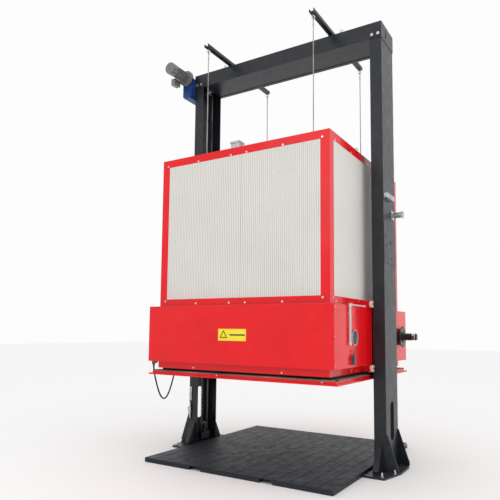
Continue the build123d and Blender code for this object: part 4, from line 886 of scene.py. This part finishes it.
def lift_chains():
    """Roller chain: a six-sided roller at each place, and a pair of link plates to the next."""
    for side, centre, replaced in (("left", CHAIN_LOW.x + CHAIN_INSET, ("lift_chains",)),
                                   ("right", CHAIN_HIGH.x - CHAIN_INSET, ())):
        mesh = Mesh()
        for index, (y, z, angle) in enumerate(chain_places()):
            mesh.add(*turned(ROLLER_PROFILE, (centre, y, z), (1, 0, 0), 6))
            offset = INNER_LINK if index % 2 else OUTER_LINK
            along = np.array([math.cos(angle), math.sin(angle)])
            across = np.array([-along[1], along[0]])
            reach, high = CHAIN_PITCH + LINK_REACH, LINK_HALF_HEIGHT
            outline = ((-LINK_REACH, -high), (reach, -high), (reach, high), (-LINK_REACH, high))
            for flip in (-1, 1):
                corners = []
                for shift in (-LINK_HALF_THICKNESS, LINK_HALF_THICKNESS):
                    for a, b in outline:
                        flat = np.array([y, z]) + a * along + b * across
                        corners.append((centre + flip * offset + shift, flat[0], flat[1]))
                mesh.add(corners, np.array(BOX_FACES))
        mesh.piece(f"chain_{side}", "gantry", "chain_steel", FINISH["chain_steel"],
                   smooth=False, replaces=replaced)


lift_chains()


# ---- seal strip ------------------------------------------------------------------------------
SEAL_WIDTH = 0.076
SEAL_STEP = 0.012          # length of one row of the strip
SEAL_EDGE_DROP = 0.0035    # the strip's edge under its highest crown
SEAL_CROWN = 0.0030


def seal_strip():
    """Padded woven strip in four runs, low at both edges and swelling along by two sines."""
    x_out, y_out = SEAL_HIGH.x, SEAL_HIGH.y
    low, high = SEAL_LOW.z, SEAL_HIGH.z
    mesh = Mesh()
    runs = [((-x_out, -y_out), (1, 0), 2 * x_out, (0, 1)),
            ((x_out, y_out), (-1, 0), 2 * x_out, (0, -1)),
            ((x_out, -y_out + SEAL_WIDTH), (0, 1), 2 * (y_out - SEAL_WIDTH), (-1, 0)),
            ((-x_out, y_out - SEAL_WIDTH), (0, -1), 2 * (y_out - SEAL_WIDTH), (1, 0))]
    section = np.linspace(0, 1, 9)
    columns = len(section) + 2
    for origin, direction, length, inward in runs:
        steps = int(length / SEAL_STEP)
        s = np.linspace(0, length, steps)[:, None]
        swell = 0.5 * np.sin(s * 41.0) + 0.3 * np.sin(s * 97.0 + 1.3)
        round_off = 1 - (2 * section - 1) ** 6
        top = high - SEAL_EDGE_DROP + SEAL_CROWN * round_off * (0.6 + 0.4 * swell)
        grid = np.zeros((steps, columns, 3))
        for column in range(columns):
            t = section[min(max(column - 1, 0), len(section) - 1)]
            base = np.array(origin) + s * np.array(direction) + t * SEAL_WIDTH * np.array(inward)
            grid[:, column, :2] = base
            grid[:, column, 2] = low if column in (0, columns - 1) else top[:, column - 1]
        mesh.add(grid.reshape(-1, 3), grid_faces(steps, columns, close_columns=True))
    mesh.piece("seal_strip", "bumper", "seal_weave", FINISH["seal_weave"],
               replaces=("bumper_seal",))


seal_strip()


# ---- light and floor -----------------------------------------------------------------
FLOOR_REACH = 40.0


def area_light(name, place, target, size, power, colour=(1, 1, 1)):
    """A rectangular light aimed at its target."""
    data = bpy.data.lights.new(name, "AREA")
    data.shape = "RECTANGLE"
    data.size, data.size_y = size
    data.energy = power
    data.color = colour
    obj = bpy.data.objects.new(name, data)
    bpy.context.scene.collection.objects.link(obj)
    obj.location = place
    obj.rotation_euler = (Vector(target) - Vector(place)).to_track_quat("-Z", "Y").to_euler()


def studio():
    """White world, three soft lights and a pale floor."""
    world = bpy.data.worlds.new("studio")
    world.use_nodes = True
    background = world.node_tree.nodes["Background"]
    background.inputs["Color"].default_value = (1.0, 1.0, 1.0, 1)
    background.inputs["Strength"].default_value = 0.98
    bpy.context.scene.world = world
    bpy.context.scene.view_settings.view_transform = "Standard"
    area_light("front", (-1.5, -9.0, 5.5), (0, 0, 1.8), (5, 4), 60)
    area_light("right", (8.5, -2.0, 4.5), (0.6, 0, 1.8), (4, 4), 70, (0.93, 0.97, 1.0))
    area_light("top", (0, -2.0, 9.0), (0, 0, 0), (5, 5), 30)
    floor = bpy.data.meshes.new("floor")
    corners = [(x * FLOOR_REACH, y * FLOOR_REACH, 0)
               for x, y in ((-1, -1), (1, -1), (1, 1), (-1, 1))]
    floor.from_pydata(corners, [], [(0, 1, 2, 3)])
    obj = bpy.data.objects.new("floor", floor)
    bpy.context.scene.collection.objects.link(obj)
    material, _, principled = shader("floor_paper", specular=0.2)
    principled.inputs["Base Color"].default_value = (0.93, 0.93, 0.93, 1)
    principled.inputs["Roughness"].default_value = 0.7
    obj.data.materials.append(material)


studio()


def write_sizes():
    import json


write_sizes()
